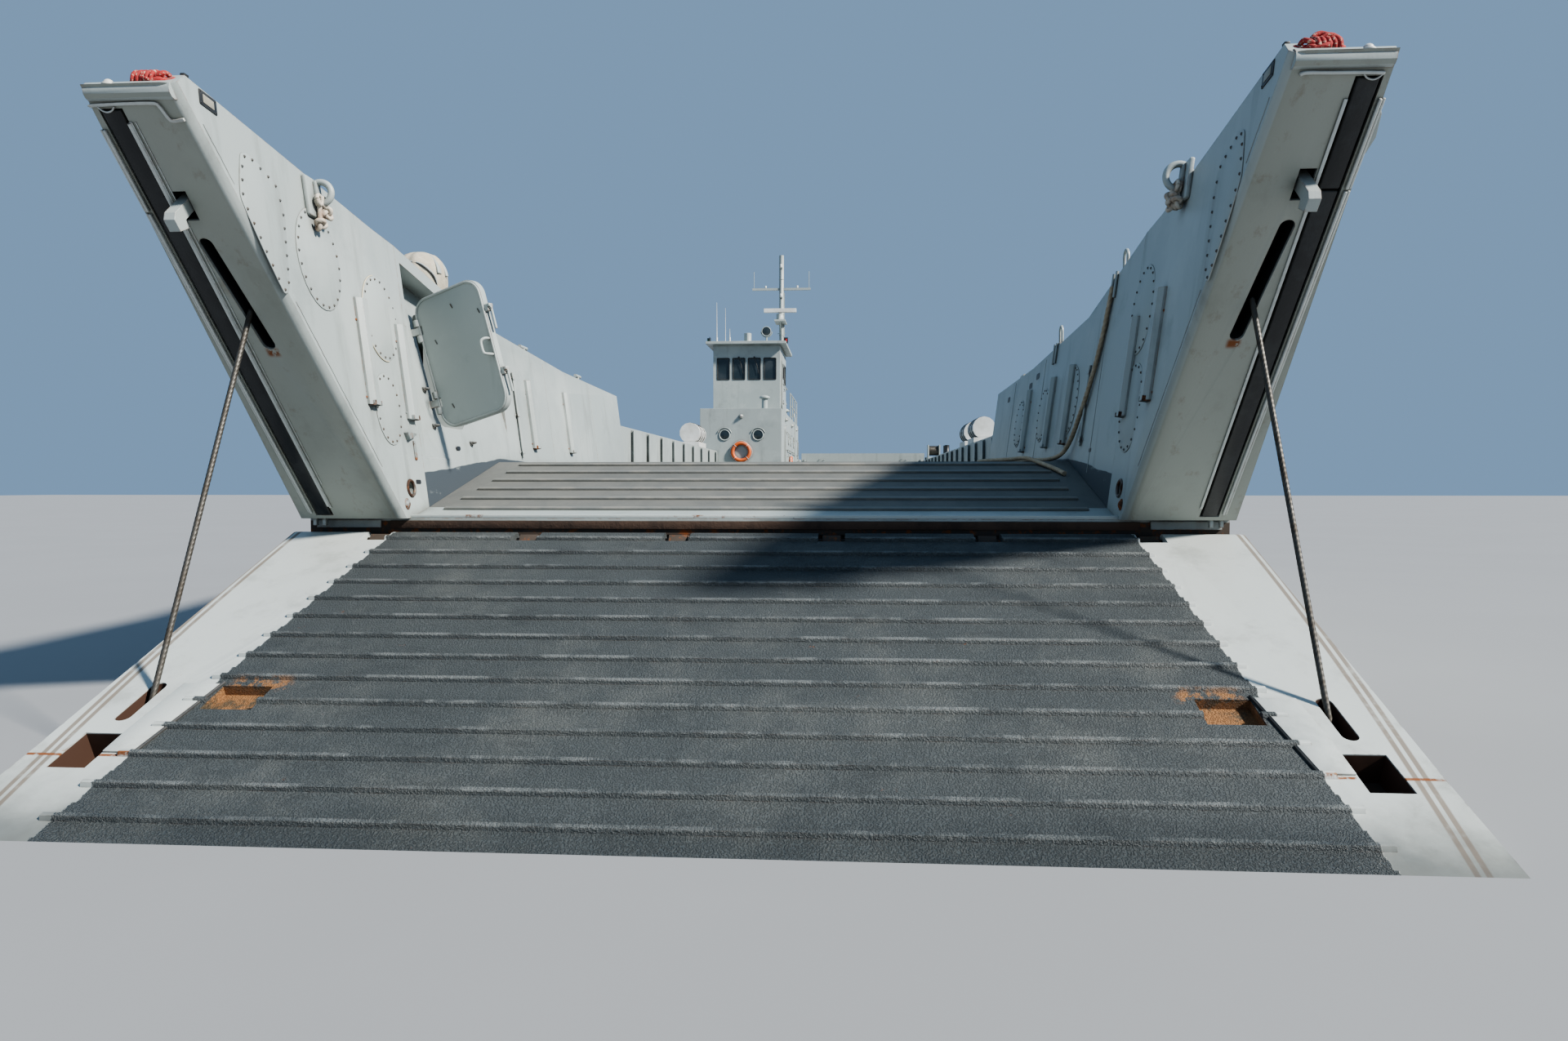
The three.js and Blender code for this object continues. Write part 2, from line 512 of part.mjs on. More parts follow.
function rampBody() {
  const noseSteps = 6;
  const nose = [];
  for (let i = 0; i <= noseSteps; i++) {
    const angle = Math.PI / 2 + Math.PI * i / noseSteps;
    nose.push([RAMP.top * Math.cos(angle), RAMP.top * Math.sin(angle)]);
  }
  const profile = [
    [RAMP.length, RAMP.top - 0.02], [RAMP.length - 0.03, RAMP.top], ...nose,
    [0.1, RAMP_UNDER.root], [RAMP_UNDER.fullAt, RAMP_UNDER.full], [RAMP.seam, RAMP_UNDER.full],
    [RAMP.length, RAMP_UNDER.toe],
  ];
  const blank = sidePlate(profile, -3, 3);
  const plan = planPlate([
    [-0.2, -RAMP.hingeHalf], [0, -RAMP.hingeHalf], [RAMP.seam, -RAMP.seamHalf], [RAMP.length + 0.1, -RAMP.toeHalf],
    [RAMP.length + 0.1, RAMP.toeHalf], [RAMP.seam, RAMP.seamHalf], [0, RAMP.hingeHalf], [-0.2, RAMP.hingeHalf],
  ], -1, 1);
  return common(blank, plan);
}

function rampBars() {
  const bars = [];
  for (let s = RAMP_BARS.first; s < RAMP.length - 0.15; s += RAMP_BARS.pitch) {
    const half = RAMP_BARS.hingeHalf + RAMP_BARS.growth * s;
    const flank = RAMP_BARS.width / 2;
    bars.push(sidePlate([
      [s - flank, RAMP.top - 0.01], [s + flank, RAMP.top - 0.01],
      [s + flank * 0.4, RAMP.top + RAMP_BARS.rise], [s - flank * 0.4, RAMP.top + RAMP_BARS.rise],
    ], -half, half));
  }
  return bars;
}

function ramp() {
  const tools = [rod(HINGE_BORE_RADIUS, [0, -3, 0], [0, 3, 0], 16)];
  for (const y of HINGE_NOTCHES) {
    tools.push(box(-0.2, 0.11, y - HINGE_NOTCH_WIDTH / 2, y + HINGE_NOTCH_WIDTH / 2, -0.2, 0.2));
  }
  for (const side of [-1, 1]) {
    const slotY = side * RAMP_SLOT.y;
    const slotHalf = RAMP_SLOT.width / 2;
    const slotEnds = [RAMP_SLOT.from + slotHalf, RAMP_SLOT.to - slotHalf];
    tools.push(box(...slotEnds, slotY - slotHalf, slotY + slotHalf, -0.5, 0.5));
    tools.push(...slotEnds.map((s) => rod(slotHalf, [s, slotY, -0.5], [s, slotY, 0.5], 16)));
    const holeY = side * RAMP_HOLE.y;
    tools.push(box(RAMP_HOLE.at - RAMP_HOLE.length / 2, RAMP_HOLE.at + RAMP_HOLE.length / 2,
      holeY - RAMP_HOLE.width / 2, holeY + RAMP_HOLE.width / 2, -0.5, 0.5));
    const pocketY = side * RAMP_POCKET.y;
    tools.push(box(RAMP_POCKET.at - RAMP_POCKET.length / 2, RAMP_POCKET.at + RAMP_POCKET.length / 2,
      pocketY - RAMP_POCKET.width / 2, pocketY + RAMP_POCKET.width / 2, RAMP.top - RAMP_POCKET.depth, 0.5));
  }
  const reach = RAMP_SLOT.width / 2 + 0.02;
  const pins = [-1, 1].map((side) => rod(ROPE.pin, [ROPE.rampAt, side * RAMP_SLOT.y - reach, -ROPE.rampDeep],
    [ROPE.rampAt, side * RAMP_SLOT.y + reach, -ROPE.rampDeep]));
  return join(cut(join(rampBody(), ...rampBars()), ...tools), ...pins);
}

function facePoint(s, y, n) {
  return [
    HINGE_X + FACE_FOOT_X + s * Math.cos(FACE_RAKE) + n * Math.sin(FACE_RAKE),
    y,
    SILL_Z + s * Math.sin(FACE_RAKE) - n * Math.cos(FACE_RAKE),
  ];
}

function rampPoint(s, y, z) {
  return [
    HINGE_X + AXIS.x + s * Math.cos(RAMP_SLOPE) + z * Math.sin(RAMP_SLOPE),
    y,
    SILL_Z + AXIS.z - s * Math.sin(RAMP_SLOPE) + z * Math.cos(RAMP_SLOPE),
  ];
}

function rampRope(side) {
  const head = new THREE.Vector3(...facePoint(ROPE.hornAt, side * ropeSlotY(ROPE.hornAt), -ROPE.hornDeep));
  const foot = new THREE.Vector3(...rampPoint(ROPE.rampAt, side * RAMP_SLOT.y, -ROPE.rampDeep));
  const run = foot.clone().sub(head).normalize().multiplyScalar(ROPE.pin + GAP);
  return rod(ROPE.radius, head.add(run).toArray(), foot.sub(run).toArray(), 8);
}

// Wing walls along the cargo well

function wingWall(x0, x1, side) {
  const y0 = side > 0 ? WELL_HALF : -HALF_BEAM;
  const y1 = side > 0 ? HALF_BEAM : -WELL_HALF;
  const wall = box(x0, x1, y0, y1, DECK_Z + GAP, WALL_TOP_Z);
  const rail = box(x0, x1, side > 0 ? y1 - 0.02 : y0 - 0.06, side > 0 ? y1 + 0.06 : y0 + 0.02,
    DECK_Z + 0.05, DECK_Z + 0.25);
  return join(wall, rail);
}

// Deckhouse with its rooms, doorways and ports

function windowRow(x0, x1, y0, y1, z0, z1, count, along) {
  const cuts = [];
  const run = along === 'x' ? x1 - x0 : y1 - y0;
  const pitch = run / count;
  const wide = pitch * 0.76;
  for (let i = 0; i < count; i++) {
    const mid = pitch * (i + 0.5);
    if (along === 'x') cuts.push(box(x0 + mid - wide / 2, x0 + mid + wide / 2, y0, y1, z0, z1));
    else cuts.push(box(x0, x1, y0 + mid - wide / 2, y0 + mid + wide / 2, z0, z1));
  }
  return cuts;
}

const HOUSE_FLOOR = DECK_Z + GAP;
const HOUSE_ROOF = DECK_Z + HOUSE.height;
const WELL_DOORS = [-9.1, -15.4];

function deckhouse() {
  const shell = box(HOUSE.x0, HOUSE.x1, HOUSE.y0, HOUSE.y1, HOUSE_FLOOR, HOUSE_ROOF);
  const t = HOUSE.wall;
  const tools = [box(HOUSE.x0 + t, HOUSE.x1 - t, HOUSE.y0 + t, HOUSE.y1 - t, HOUSE_FLOOR + t, HOUSE_ROOF - t)];
  for (const x of WELL_DOORS) {
    tools.push(box(x - HOUSE_DOOR.width + 0.05, x - 0.05, HOUSE.y1 - t - 0.1, HOUSE.y1 + 0.1,
      DECK_Z + HOUSE_DOOR.sill + 0.05, DECK_Z + HOUSE_DOOR.sill + HOUSE_DOOR.height - 0.05));
  }
  return cut(shell, ...tools);
}

function houseDoor(x) {
  const z0 = DECK_Z + HOUSE_DOOR.sill;
  const y0 = HOUSE.y1 + GAP;
  return roundedPlate(x - HOUSE_DOOR.width, x, z0, z0 + HOUSE_DOOR.height, y0, y0 + HOUSE_DOOR.thick, 0.14);
}

const PILOT_FLOOR = HOUSE_ROOF + GAP;
const PILOT_ROOF = PILOT_FLOOR + PILOT.height;
const PILOT_DOOR = { x: -9.75, width: 0.66, height: 1.75, sill: 0.16, thick: 0.05 };

function pilothouse() {
  const t = PILOT.wall;
  const shell = box(PILOT.x0, PILOT.x1, PILOT.y0, PILOT.y1, PILOT_FLOOR, PILOT_ROOF);
  const room = box(PILOT.x0 + t, PILOT.x1 - t, PILOT.y0 + t, PILOT.y1 - t, PILOT_FLOOR + t, PILOT_ROOF + 0.1);
  const z0 = PILOT_FLOOR + WINDOW.sill;
  const z1 = z0 + WINDOW.height;
  const front = windowRow(PILOT.x1 - 0.2, PILOT.x1 + 0.2, PILOT.y0 + 0.08, PILOT.y1 - 0.08, z0, z1, 4, 'y');
  const back = windowRow(PILOT.x0 - 0.2, PILOT.x0 + 0.2, PILOT.y0 + 0.2, PILOT.y1 - 0.2, z0, z1, 2, 'y');
  const sides = [
    ...windowRow(PILOT.x0 + 0.15, PILOT.x1 - 1.2, PILOT.y1 - 0.2, PILOT.y1 + 0.2, z0, z1, 2, 'x'),
    ...windowRow(PILOT.x0 + 0.15, PILOT.x1 - 1.2, PILOT.y0 - 0.2, PILOT.y0 + 0.2, z0, z1, 2, 'x'),
  ];
  const doorways = [PILOT.y0, PILOT.y1].map((y) => box(PILOT_DOOR.x - PILOT_DOOR.width + 0.05, PILOT_DOOR.x - 0.05,
    y - 0.2, y + 0.2, PILOT_FLOOR + PILOT_DOOR.sill + 0.05, PILOT_FLOOR + PILOT_DOOR.sill + PILOT_DOOR.height - 0.05));
  return cut(shell, room, ...front, ...back, ...sides, ...doorways);
}

function pilotDoor(side) {
  const z0 = PILOT_FLOOR + PILOT_DOOR.sill;
  const y = side > 0 ? PILOT.y1 + GAP : PILOT.y0 - GAP - PILOT_DOOR.thick;
  const leaf = roundedPlate(PILOT_DOOR.x - PILOT_DOOR.width, PILOT_DOOR.x, z0, z0 + PILOT_DOOR.height,
    y, y + PILOT_DOOR.thick, 0.14);
  const light = roundedPlate(PILOT_DOOR.x - 0.5, PILOT_DOOR.x - 0.16, z0 + 1.05, z0 + 1.55, y - 0.1, y + 0.2, 0.05);
  return cut(leaf, light);
}

function pilotRoof() {
  const over = 0.22;
  const z = PILOT_ROOF + GAP;
  const plate = box(PILOT.x0 - over, PILOT.x1 + over + 0.1, PILOT.y0 - over, PILOT.y1 + over, z, z + 0.09);
  const lamp = rod(0.13, [PILOT.x1 - 0.4, -3, z + 0.05], [PILOT.x1 - 0.4, -3, z + 0.45], 12);
  return join(plate, lamp);
}

// Mast, hinged at its foot to fold aft
const MAST = { x: -12.95, y: -2.05, foot: HOUSE_ROOF + 0.55, height: 5.6, radius: 0.09 };
const SCANNER = { ahead: 0.75, shelf: 3.0, half: 0.6 };

function mastTabernacle() {
  const base = box(MAST.x - 0.28, MAST.x + 0.28, MAST.y - 0.3, MAST.y + 0.3, HOUSE_ROOF + GAP, HOUSE_ROOF + 0.06);
  const cheek = (y0, y1) => sidePlate([
    [MAST.x - 0.2, HOUSE_ROOF + 0.03], [MAST.x + 0.2, HOUSE_ROOF + 0.03],
    [MAST.x + 0.1, MAST.foot + 0.12], [MAST.x - 0.1, MAST.foot + 0.12],
  ], y0, y1);
  const pin = rod(0.028, [MAST.x, MAST.y - 0.2, MAST.foot], [MAST.x, MAST.y + 0.2, MAST.foot], 12);
  return join(base, cheek(MAST.y - 0.17, MAST.y - 0.12), cheek(MAST.y + 0.12, MAST.y + 0.17), pin);
}

function mast() {
  const pole = rod(MAST.radius, [MAST.x, MAST.y, MAST.foot - 0.12], [MAST.x, MAST.y, MAST.foot + MAST.height], 12);
  const yard = box(MAST.x - 0.04, MAST.x + 0.04, MAST.y - 1.1, MAST.y + 1.1, MAST.foot + 4.3, MAST.foot + 4.38);
  const shelfZ = MAST.foot + SCANNER.shelf;
  const scannerX = MAST.x + SCANNER.ahead;
  const shelf = box(MAST.x - 0.02, scannerX + 0.2, MAST.y - 0.2, MAST.y + 0.2, shelfZ, shelfZ + 0.06);
  const brace = sidePlate([
    [MAST.x, shelfZ - 0.6], [scannerX, shelfZ + 0.03], [MAST.x, shelfZ + 0.03],
  ], MAST.y - 0.02, MAST.y + 0.02);
  const gearbox = rod(0.14, [scannerX, MAST.y, shelfZ + 0.04], [scannerX, MAST.y, shelfZ + 0.28], 12);
  const bore = rod(0.0293, [MAST.x, MAST.y - 0.5, MAST.foot], [MAST.x, MAST.y + 0.5, MAST.foot], 12);
  return cut(join(pole, yard, shelf, brace, gearbox), bore);
}

function radarScanner() {
  const z = MAST.foot + SCANNER.shelf + 0.28 + GAP;
  const x = MAST.x + SCANNER.ahead;
  const hub = rod(0.05, [x, MAST.y, z], [x, MAST.y, z + 0.09], 12);
  const bar = box(x - 0.07, x + 0.07, MAST.y - SCANNER.half, MAST.y + SCANNER.half, z + 0.06, z + 0.2);
  return join(hub, bar);
}

function exhaustStack() {
  const casing = loft([
    [[-15.6, -3.7, HOUSE_ROOF + GAP], [-14.2, -3.7, HOUSE_ROOF + GAP], [-14.2, -2.4, HOUSE_ROOF + GAP],
      [-15.6, -2.4, HOUSE_ROOF + GAP]],
    [[-15.5, -3.55, HOUSE_ROOF + 1.2], [-14.5, -3.55, HOUSE_ROOF + 1.2], [-14.5, -2.55, HOUSE_ROOF + 1.2],
      [-15.5, -2.55, HOUSE_ROOF + 1.2]],
  ]);
  const pipes = [-3.3, -2.8].map((y) => rod(0.11, [-15.05, y, HOUSE_ROOF + 1.1], [-15.2, y, HOUSE_ROOF + 1.6], 12));
  return join(casing, ...pipes);
}

// Stern

function transomPost() {
  return box(STERN_X + 0.02, STERN_X + 1.3, -4.36, GATE_STBD_Y, DECK_Z + GAP, WALL_TOP_Z);
}

// The gate folds aft about a barrel along its foot
function sternGate() {
  const x = GATE.axisX;
  const [y0, y1] = [GATE_STBD_Y + 0.02, WELL_HALF - 0.02];
  const panel = box(x + 0.02, x + 0.02 + GATE.thick, y0, y1, GATE.axisZ, DECK_Z + GATE.height);
  const barrel = rod(GATE.barrel, [x, y0, GATE.axisZ], [x, y1, GATE.axisZ], 12);
  const ribs = [];
  for (let y = GATE_STBD_Y + 0.5; y < WELL_HALF - 0.3; y += 0.84) {
    ribs.push(box(x - 0.03, x + 0.1, y - 0.05, y + 0.05, GATE.axisZ + 0.12, DECK_Z + GATE.height - 0.05));
  }
  const notches = GATE_LUGS.map((y) => box(x - 0.1, x + 0.075, y - 0.08, y + 0.08, GATE.axisZ - 0.1, GATE.axisZ + 0.07));
  const bore = rod(GATE_BORE_RADIUS, [x, -5, GATE.axisZ], [x, 5, GATE.axisZ], 12);
  return cut(join(panel, barrel, ...ribs), bore, ...notches);
}

function gateHinge() {
  const [x, z] = [GATE.axisX, GATE.axisZ];
  const foot = DECK_Z + GAP;
  const pin = rod(GATE_PIN_RADIUS, [x, GATE_STBD_Y + 0.03, z], [x, WELL_HALF - 0.03, z], 12);
  const lugs = GATE_LUGS.map((y) => sidePlate([
    [x - 0.07, foot], [x + 0.07, foot], [x + 0.03, z + 0.02], [x, z + 0.035], [x - 0.03, z + 0.02],
  ], y - 0.05, y + 0.05));
  return join(pin, ...lugs);
}

function screw(side) {
  const hub = new THREE.CylinderGeometry(SCREW.hub * 0.8, SCREW.hub, 0.3, 16);
  hub.rotateZ(Math.PI / 2);
  const blades = [];
  for (let i = 0; i < 4; i++) {
    const blade = bladeShape();
    blade.rotateX(i * Math.PI / 2);
    blades.push(blade);
  }
  const bore = rod(SHAFT.radius + GAP, [-1, 0, 0], [1, 0, 0], 12);
  const wheel = cut(join(hub, ...blades), bore);
  return wheel.translate(SCREW.x, side * SCREW.y, SCREW.z);
}

// One blade: flat sections that twist from root to tip
function bladeShape() {
  // radius, chord, thickness, pitch angle in degrees
  const sections = [
    { r: 0.08, chord: 0.2, thick: 0.05, pitch: 60 },
    { r: 0.25, chord: 0.3, thick: 0.035, pitch: 44 },
    { r: 0.42, chord: 0.36, thick: 0.025, pitch: 33 },
    { r: 0.55, chord: 0.24, thick: 0.015, pitch: 27 },
  ];
  const rings = sections.map(({ r, chord, thick, pitch }) => {
    const [c, s] = [Math.cos(deg(pitch)), Math.sin(deg(pitch))];
    const corners = [[-chord / 2, 0], [0, -thick / 2], [chord / 2, 0], [0, thick / 2]];
    return corners.map(([u, v]) => [u * s + v * c, u * c - v * s, r]);
  });
  return loft(rings);
}

function nozzle(side) {
  const points = [
    [NOZZLE.inner, -NOZZLE.length / 2], [NOZZLE.outer - 0.04, -NOZZLE.length / 2],
    [NOZZLE.outer, NOZZLE.length / 4], [NOZZLE.outer, NOZZLE.length / 2], [NOZZLE.inner + 0.03, NOZZLE.length / 2],
    [NOZZLE.inner, 0], [NOZZLE.inner, -NOZZLE.length / 2],
  ].map(([r, x]) => new THREE.Vector2(r, x));
  const ring = new THREE.LatheGeometry(points, 28);
  ring.rotateZ(-Math.PI / 2);
  ring.translate(SCREW.x, side * SCREW.y, SCREW.z);
  const strut = box(SCREW.x - 0.2, SCREW.x + 0.2, side * SCREW.y - 0.06, side * SCREW.y + 0.06,
    SCREW.z + NOZZLE.inner + 0.04, hullBottomAt(SCREW.x + 0.2) - GAP);
  return join(outward(mergeVertices(stripped(ring))), strut);
}

function stripped(geometry) {
  geometry.deleteAttribute('normal');
  geometry.deleteAttribute('uv');
  return geometry;
}

function shaft(side) {
  const y = side * SCREW.y;
  return rod(SHAFT.radius, [SCREW.x - 0.25, y, SCREW.z], [SHAFT.inboard - 0.06, y, SCREW.z], 12);
}

function shaftStrut(side) {
  const y = side * SCREW.y;
  const boss = rod(0.1, [-16.55, y, SCREW.z], [-16.25, y, SCREW.z], 12);
  const arm = box(-16.5, -16.3, y - 0.035, y + 0.035, SCREW.z, hullBottomAt(-16.3) - GAP);
  return cut(join(boss, arm), rod(SHAFT.bearing, [-17, y, SCREW.z], [-16, y, SCREW.z], 12));
}

function rudder(side) {
  const y = side * SCREW.y;
  const ring = (z) => [
    [RUDDER.x + 0.25, y, z], [RUDDER.x + 0.1, y + RUDDER.thick / 2, z], [RUDDER.x + 0.25 - RUDDER.chord, y + 0.01, z],
    [RUDDER.x + 0.25 - RUDDER.chord, y - 0.01, z], [RUDDER.x + 0.1, y - RUDDER.thick / 2, z],
  ];
  const blade = loft([ring(0.12), ring(0.12 + RUDDER.height)]);
  const stock = rod(0.05, [RUDDER.x, y, 1.1], [RUDDER.x, y, hullBottomAt(RUDDER.x + 0.05) - GAP], 12);
  return join(blade, stock);
}

function skeg() {
  const crown = [-12.9, -16.2, -18.6].map((x) => [x, hullBottomAt(x) - GAP]);
  return sidePlate([[-18.9, 0], [-12.9, 0], ...crown], -0.11, 0.11);
}

// Deck gear

function canisterRack(x, side) {
  const y = side * (WELL_HALF + HALF_BEAM) / 2;
  const z = WALL_TOP_Z;
  const cradle = box(x - 0.7, x + 0.7, y - 0.28, y + 0.28, z + GAP, z + 0.14);
  const canister = rod(0.3, [x - 0.63, y, z + 0.4], [x + 0.63, y, z + 0.4], 14);
  return join(cradle, canister);
}

function anchorWinch() {
  const y = 4.1;
  const z = WALL_TOP_Z;
  const base = box(-18.6, -17.6, y - 0.28, y + 0.28, z + GAP, z + 0.08);
  const drum = rod(0.19, [-18.1, y - 0.25, z + 0.36], [-18.1, y + 0.25, z + 0.36], 16);
  const cheek = (y0) => box(-18.35, -17.85, y0, y0 + 0.05, z + 0.04, z + 0.6);
  return join(base, drum, cheek(y - 0.26), cheek(y + 0.21));
}

function anchor() {
  const y = 4.1;
  const z = WALL_TOP_Z;
  const shank = box(STERN_X - 0.1, STERN_X + 0.75, y - 0.04, y + 0.04, z + GAP, z + 0.1);
  const crown = box(STERN_X - 0.22, STERN_X - 0.08, y - 0.25, y + 0.25, z + GAP, z + 0.12);
  const fluke = (dy) => loft([
    [[STERN_X - 0.2, y + dy - 0.08, z + 0.02], [STERN_X - 0.2, y + dy + 0.08, z + 0.02],
      [STERN_X - 0.2, y + dy + 0.08, z + 0.1], [STERN_X - 0.2, y + dy - 0.08, z + 0.1]],
    [[STERN_X + 0.55, y + dy * 0.9 - 0.02, z + 0.03], [STERN_X + 0.55, y + dy * 0.9 + 0.02, z + 0.03],
      [STERN_X + 0.55, y + dy * 0.9 + 0.02, z + 0.06], [STERN_X + 0.55, y + dy * 0.9 - 0.02, z + 0.06]],
  ]);
  return join(shank, crown, fluke(-0.16), fluke(0.16));
}

function bittPair(x, side) {
  const y = side * (WELL_HALF + HALF_BEAM) / 2;
  const z = WALL_TOP_Z;
  const base = box(x - 0.4, x + 0.4, y - 0.16, y + 0.16, z + GAP, z + 0.04);
  const posts = [-0.24, 0.24].map((dx) => rod(0.09, [x + dx, y, z + 0.02], [x + dx, y, z + 0.36], 12));
  return join(base, ...posts);
}

function coveredLamp() {
  const points = [[0, 0], [0.2, 0], [0.22, 0.12], [0.2, 0.26], [0.12, 0.35], [0, 0.38]];
  const cover = new THREE.LatheGeometry(points.map(([r, z]) => new THREE.Vector2(r, z)), 16);
  cover.rotateX(Math.PI / 2);
  const lump = outward(mergeVertices(stripped(cover)));
  lump.translate(HINGE_X - 1.2, -2.75, SILL_Z + bowLineAt(-1.4, 'top'));
  return cut(lump, mirrored(bowSide(BOW_LINES.slice(2)).translate(0, 0, GAP)));
}

// A bent rod over the wall's edge, on two feet
function wallHoop(x) {
  const top = bowLineAt(x, 'top');
  const y = 2.235 + WALL_FLARE * top + 0.05;
  const ground = SILL_Z + top;
  const points = [];
  for (let i = 0; i <= 8; i++) {
    const angle = Math.PI * i / 8;
    points.push(new THREE.Vector3(HINGE_X + x + 0.05 * Math.cos(angle), y, ground + 0.13 + 0.05 * Math.sin(angle)));
  }
  points.unshift(new THREE.Vector3(HINGE_X + x + 0.05, y, ground - 0.02));
  points.push(new THREE.Vector3(HINGE_X + x - 0.05, y, ground - 0.02));
  const bend = tube(new THREE.CatmullRomCurve3(points, false, 'catmullrom', 0.3), 0.011, 8, 26);
  const pad = box(HINGE_X + x - 0.09, HINGE_X + x + 0.09, y - 0.03, y + 0.03, ground - 0.06, ground + 0.025);
  const seat = bowSide(BOW_LINES.slice(2)).translate(0, 0, GAP);
  return cut(join(bend, pad), seat);
}

function tube(curve, radius, sides, steps) {
  const section = new THREE.Shape();
  for (let i = 0; i < sides; i++) {
    const angle = 2 * Math.PI * i / sides;
    const [u, v] = [radius * Math.cos(angle), radius * Math.sin(angle)];
    if (i) section.lineTo(u, v);
    else section.moveTo(u, v);
  }
  section.closePath();
  return new THREE.ExtrudeGeometry(section, { steps, extrudePath: curve, bevelEnabled: false });
}

function hawser() {
  const points = HAWSER_ROUTE.map(([x, y, z]) => new THREE.Vector3(HINGE_X + x, y, SILL_Z + z));
  return tube(new THREE.CatmullRomCurve3(points), HAWSER_RADIUS, 8, 64);
}

function topRail(x0, x1, y, z) {
  const bars = [rod(0.022, [x0, y, z + 1.0], [x1, y, z + 1.0], 6), rod(0.018, [x0, y, z + 0.55], [x1, y, z + 0.55], 6)];
  const count = Math.round((x1 - x0) / 1.5);
  for (let i = 0; i <= count; i++) {
    const x = x0 + (x1 - x0) * i / count;
    bars.push(rod(0.022, [x, y, z + GAP], [x, y, z + 1.0], 6));
  }
  return join(...bars);
}

// Assembly
const bow = new THREE.Group();
craft.add(bow);
add('hull', hull(), 'haze');
add('bow_sill', bowSill(), 'steel', bow);
const horn = join(hornPort(), ...WALL_GUARDS.map((row) => guard(row, 1)));
add('horn_port', horn, 'haze', bow);
add('horn_starboard', mirrored(horn), 'haze', bow);
add('bow_side_port', bowSidePort(), 'haze', bow);
add('bow_side_starboard', bowSideStarboard(), 'haze', bow);
add('ramp_seal_port', sealPort(), 'rubber', bow);
add('ramp_seal_starboard', mirrored(sealPort()), 'rubber', bow);
add('ramp_dog_port', dogPort(), 'steel', bow);
add('ramp_dog_starboard', mirrored(dogPort()), 'steel', bow);
add('bow_door', bowDoor(), 'haze', bow);
add('wall_hoop_fore', wallHoop(HOOPS[0]), 'steel', bow);
add('wall_hoop_aft', wallHoop(HOOPS[1]), 'steel', bow);
add('hawser', hawser(), 'rope', bow);
add('covered_lamp', coveredLamp(), 'canvas', bow);
add('ramp_rope_port', rampRope(1), 'steel', bow);
add('ramp_rope_starboard', rampRope(-1), 'steel', bow);

const rampPivot = new THREE.Group();
rampPivot.position.set(HINGE_X + AXIS.x, 0, SILL_Z + AXIS.z);
rampPivot.rotation.y = RAMP_SLOPE;
craft.add(rampPivot);
add('ramp', ramp(), 'deck', rampPivot);

const wallFore = HINGE_X - 9.0 - GAP;
add('wing_wall_port', wingWall(STERN_X + 0.02, wallFore, 1), 'haze');
add('wing_wall_starboard', wingWall(HOUSE.x1 + GAP, wallFore, -1), 'haze');
add('quarter_block', transomPost(), 'haze');
add('stern_gate', sternGate(), 'haze');
add('gate_hinge', gateHinge(), 'steel');

add('deckhouse', deckhouse(), 'haze');
add('deckhouse_door_fore', houseDoor(WELL_DOORS[0]), 'haze');
add('deckhouse_door_aft', houseDoor(WELL_DOORS[1]), 'haze');
add('deckhouse_rail', topRail(HOUSE.x0 + 0.1, PILOT.x0 - 0.9, HOUSE.y1 - 0.06, HOUSE_ROOF), 'haze');
add('pilothouse', pilothouse(), 'haze');
add('pilothouse_roof', pilotRoof(), 'haze');
add('pilothouse_door_port', pilotDoor(1), 'haze');
add('pilothouse_door_starboard', pilotDoor(-1), 'haze');
add('mast_tabernacle', mastTabernacle(), 'haze');
add('mast', mast(), 'haze');
add('radar_scanner', radarScanner(), 'white');
add('exhaust_stack', exhaustStack(), 'haze');

for (const [name, side] of [['port', 1], ['starboard', -1]]) {
  add(`propeller_${name}`, screw(side), 'bronze');
  add(`propeller_shaft_${name}`, shaft(side), 'steel');
  add(`shaft_strut_${name}`, shaftStrut(side), 'black');
  add(`nozzle_${name}`, nozzle(side), 'black');
  add(`rudder_${name}`, rudder(side), 'black');
}
add('skeg', skeg(), 'black');

add('raft_canister_fore', canisterRack(-2.5, 1), 'white');
add('raft_canister_aft', canisterRack(-4.6, 1), 'white');
add('raft_canister_starboard', canisterRack(-4.6, -1), 'white');
add('anchor_winch', anchorWinch(), 'haze');
add('anchor', anchor(), 'black');
add('bitts_port_fore', bittPair(7.4, 1), 'black');
add('bitts_port_aft', bittPair(-12.5, 1), 'black');
add('bitts_starboard_fore', bittPair(7.4, -1), 'black');

export default craft;
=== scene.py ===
# %% [markdown]
# # A landing craft with its ramp down
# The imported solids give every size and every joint. This script dresses them: it rounds the
# plates' edges, adds the small fittings, and gives every surface a worked finish.
# It starts by loading the solids, because each new piece is placed against one of them.

# %% Load the frame
import json
import math

import bmesh
import bpy
from mathutils import Matrix, Vector

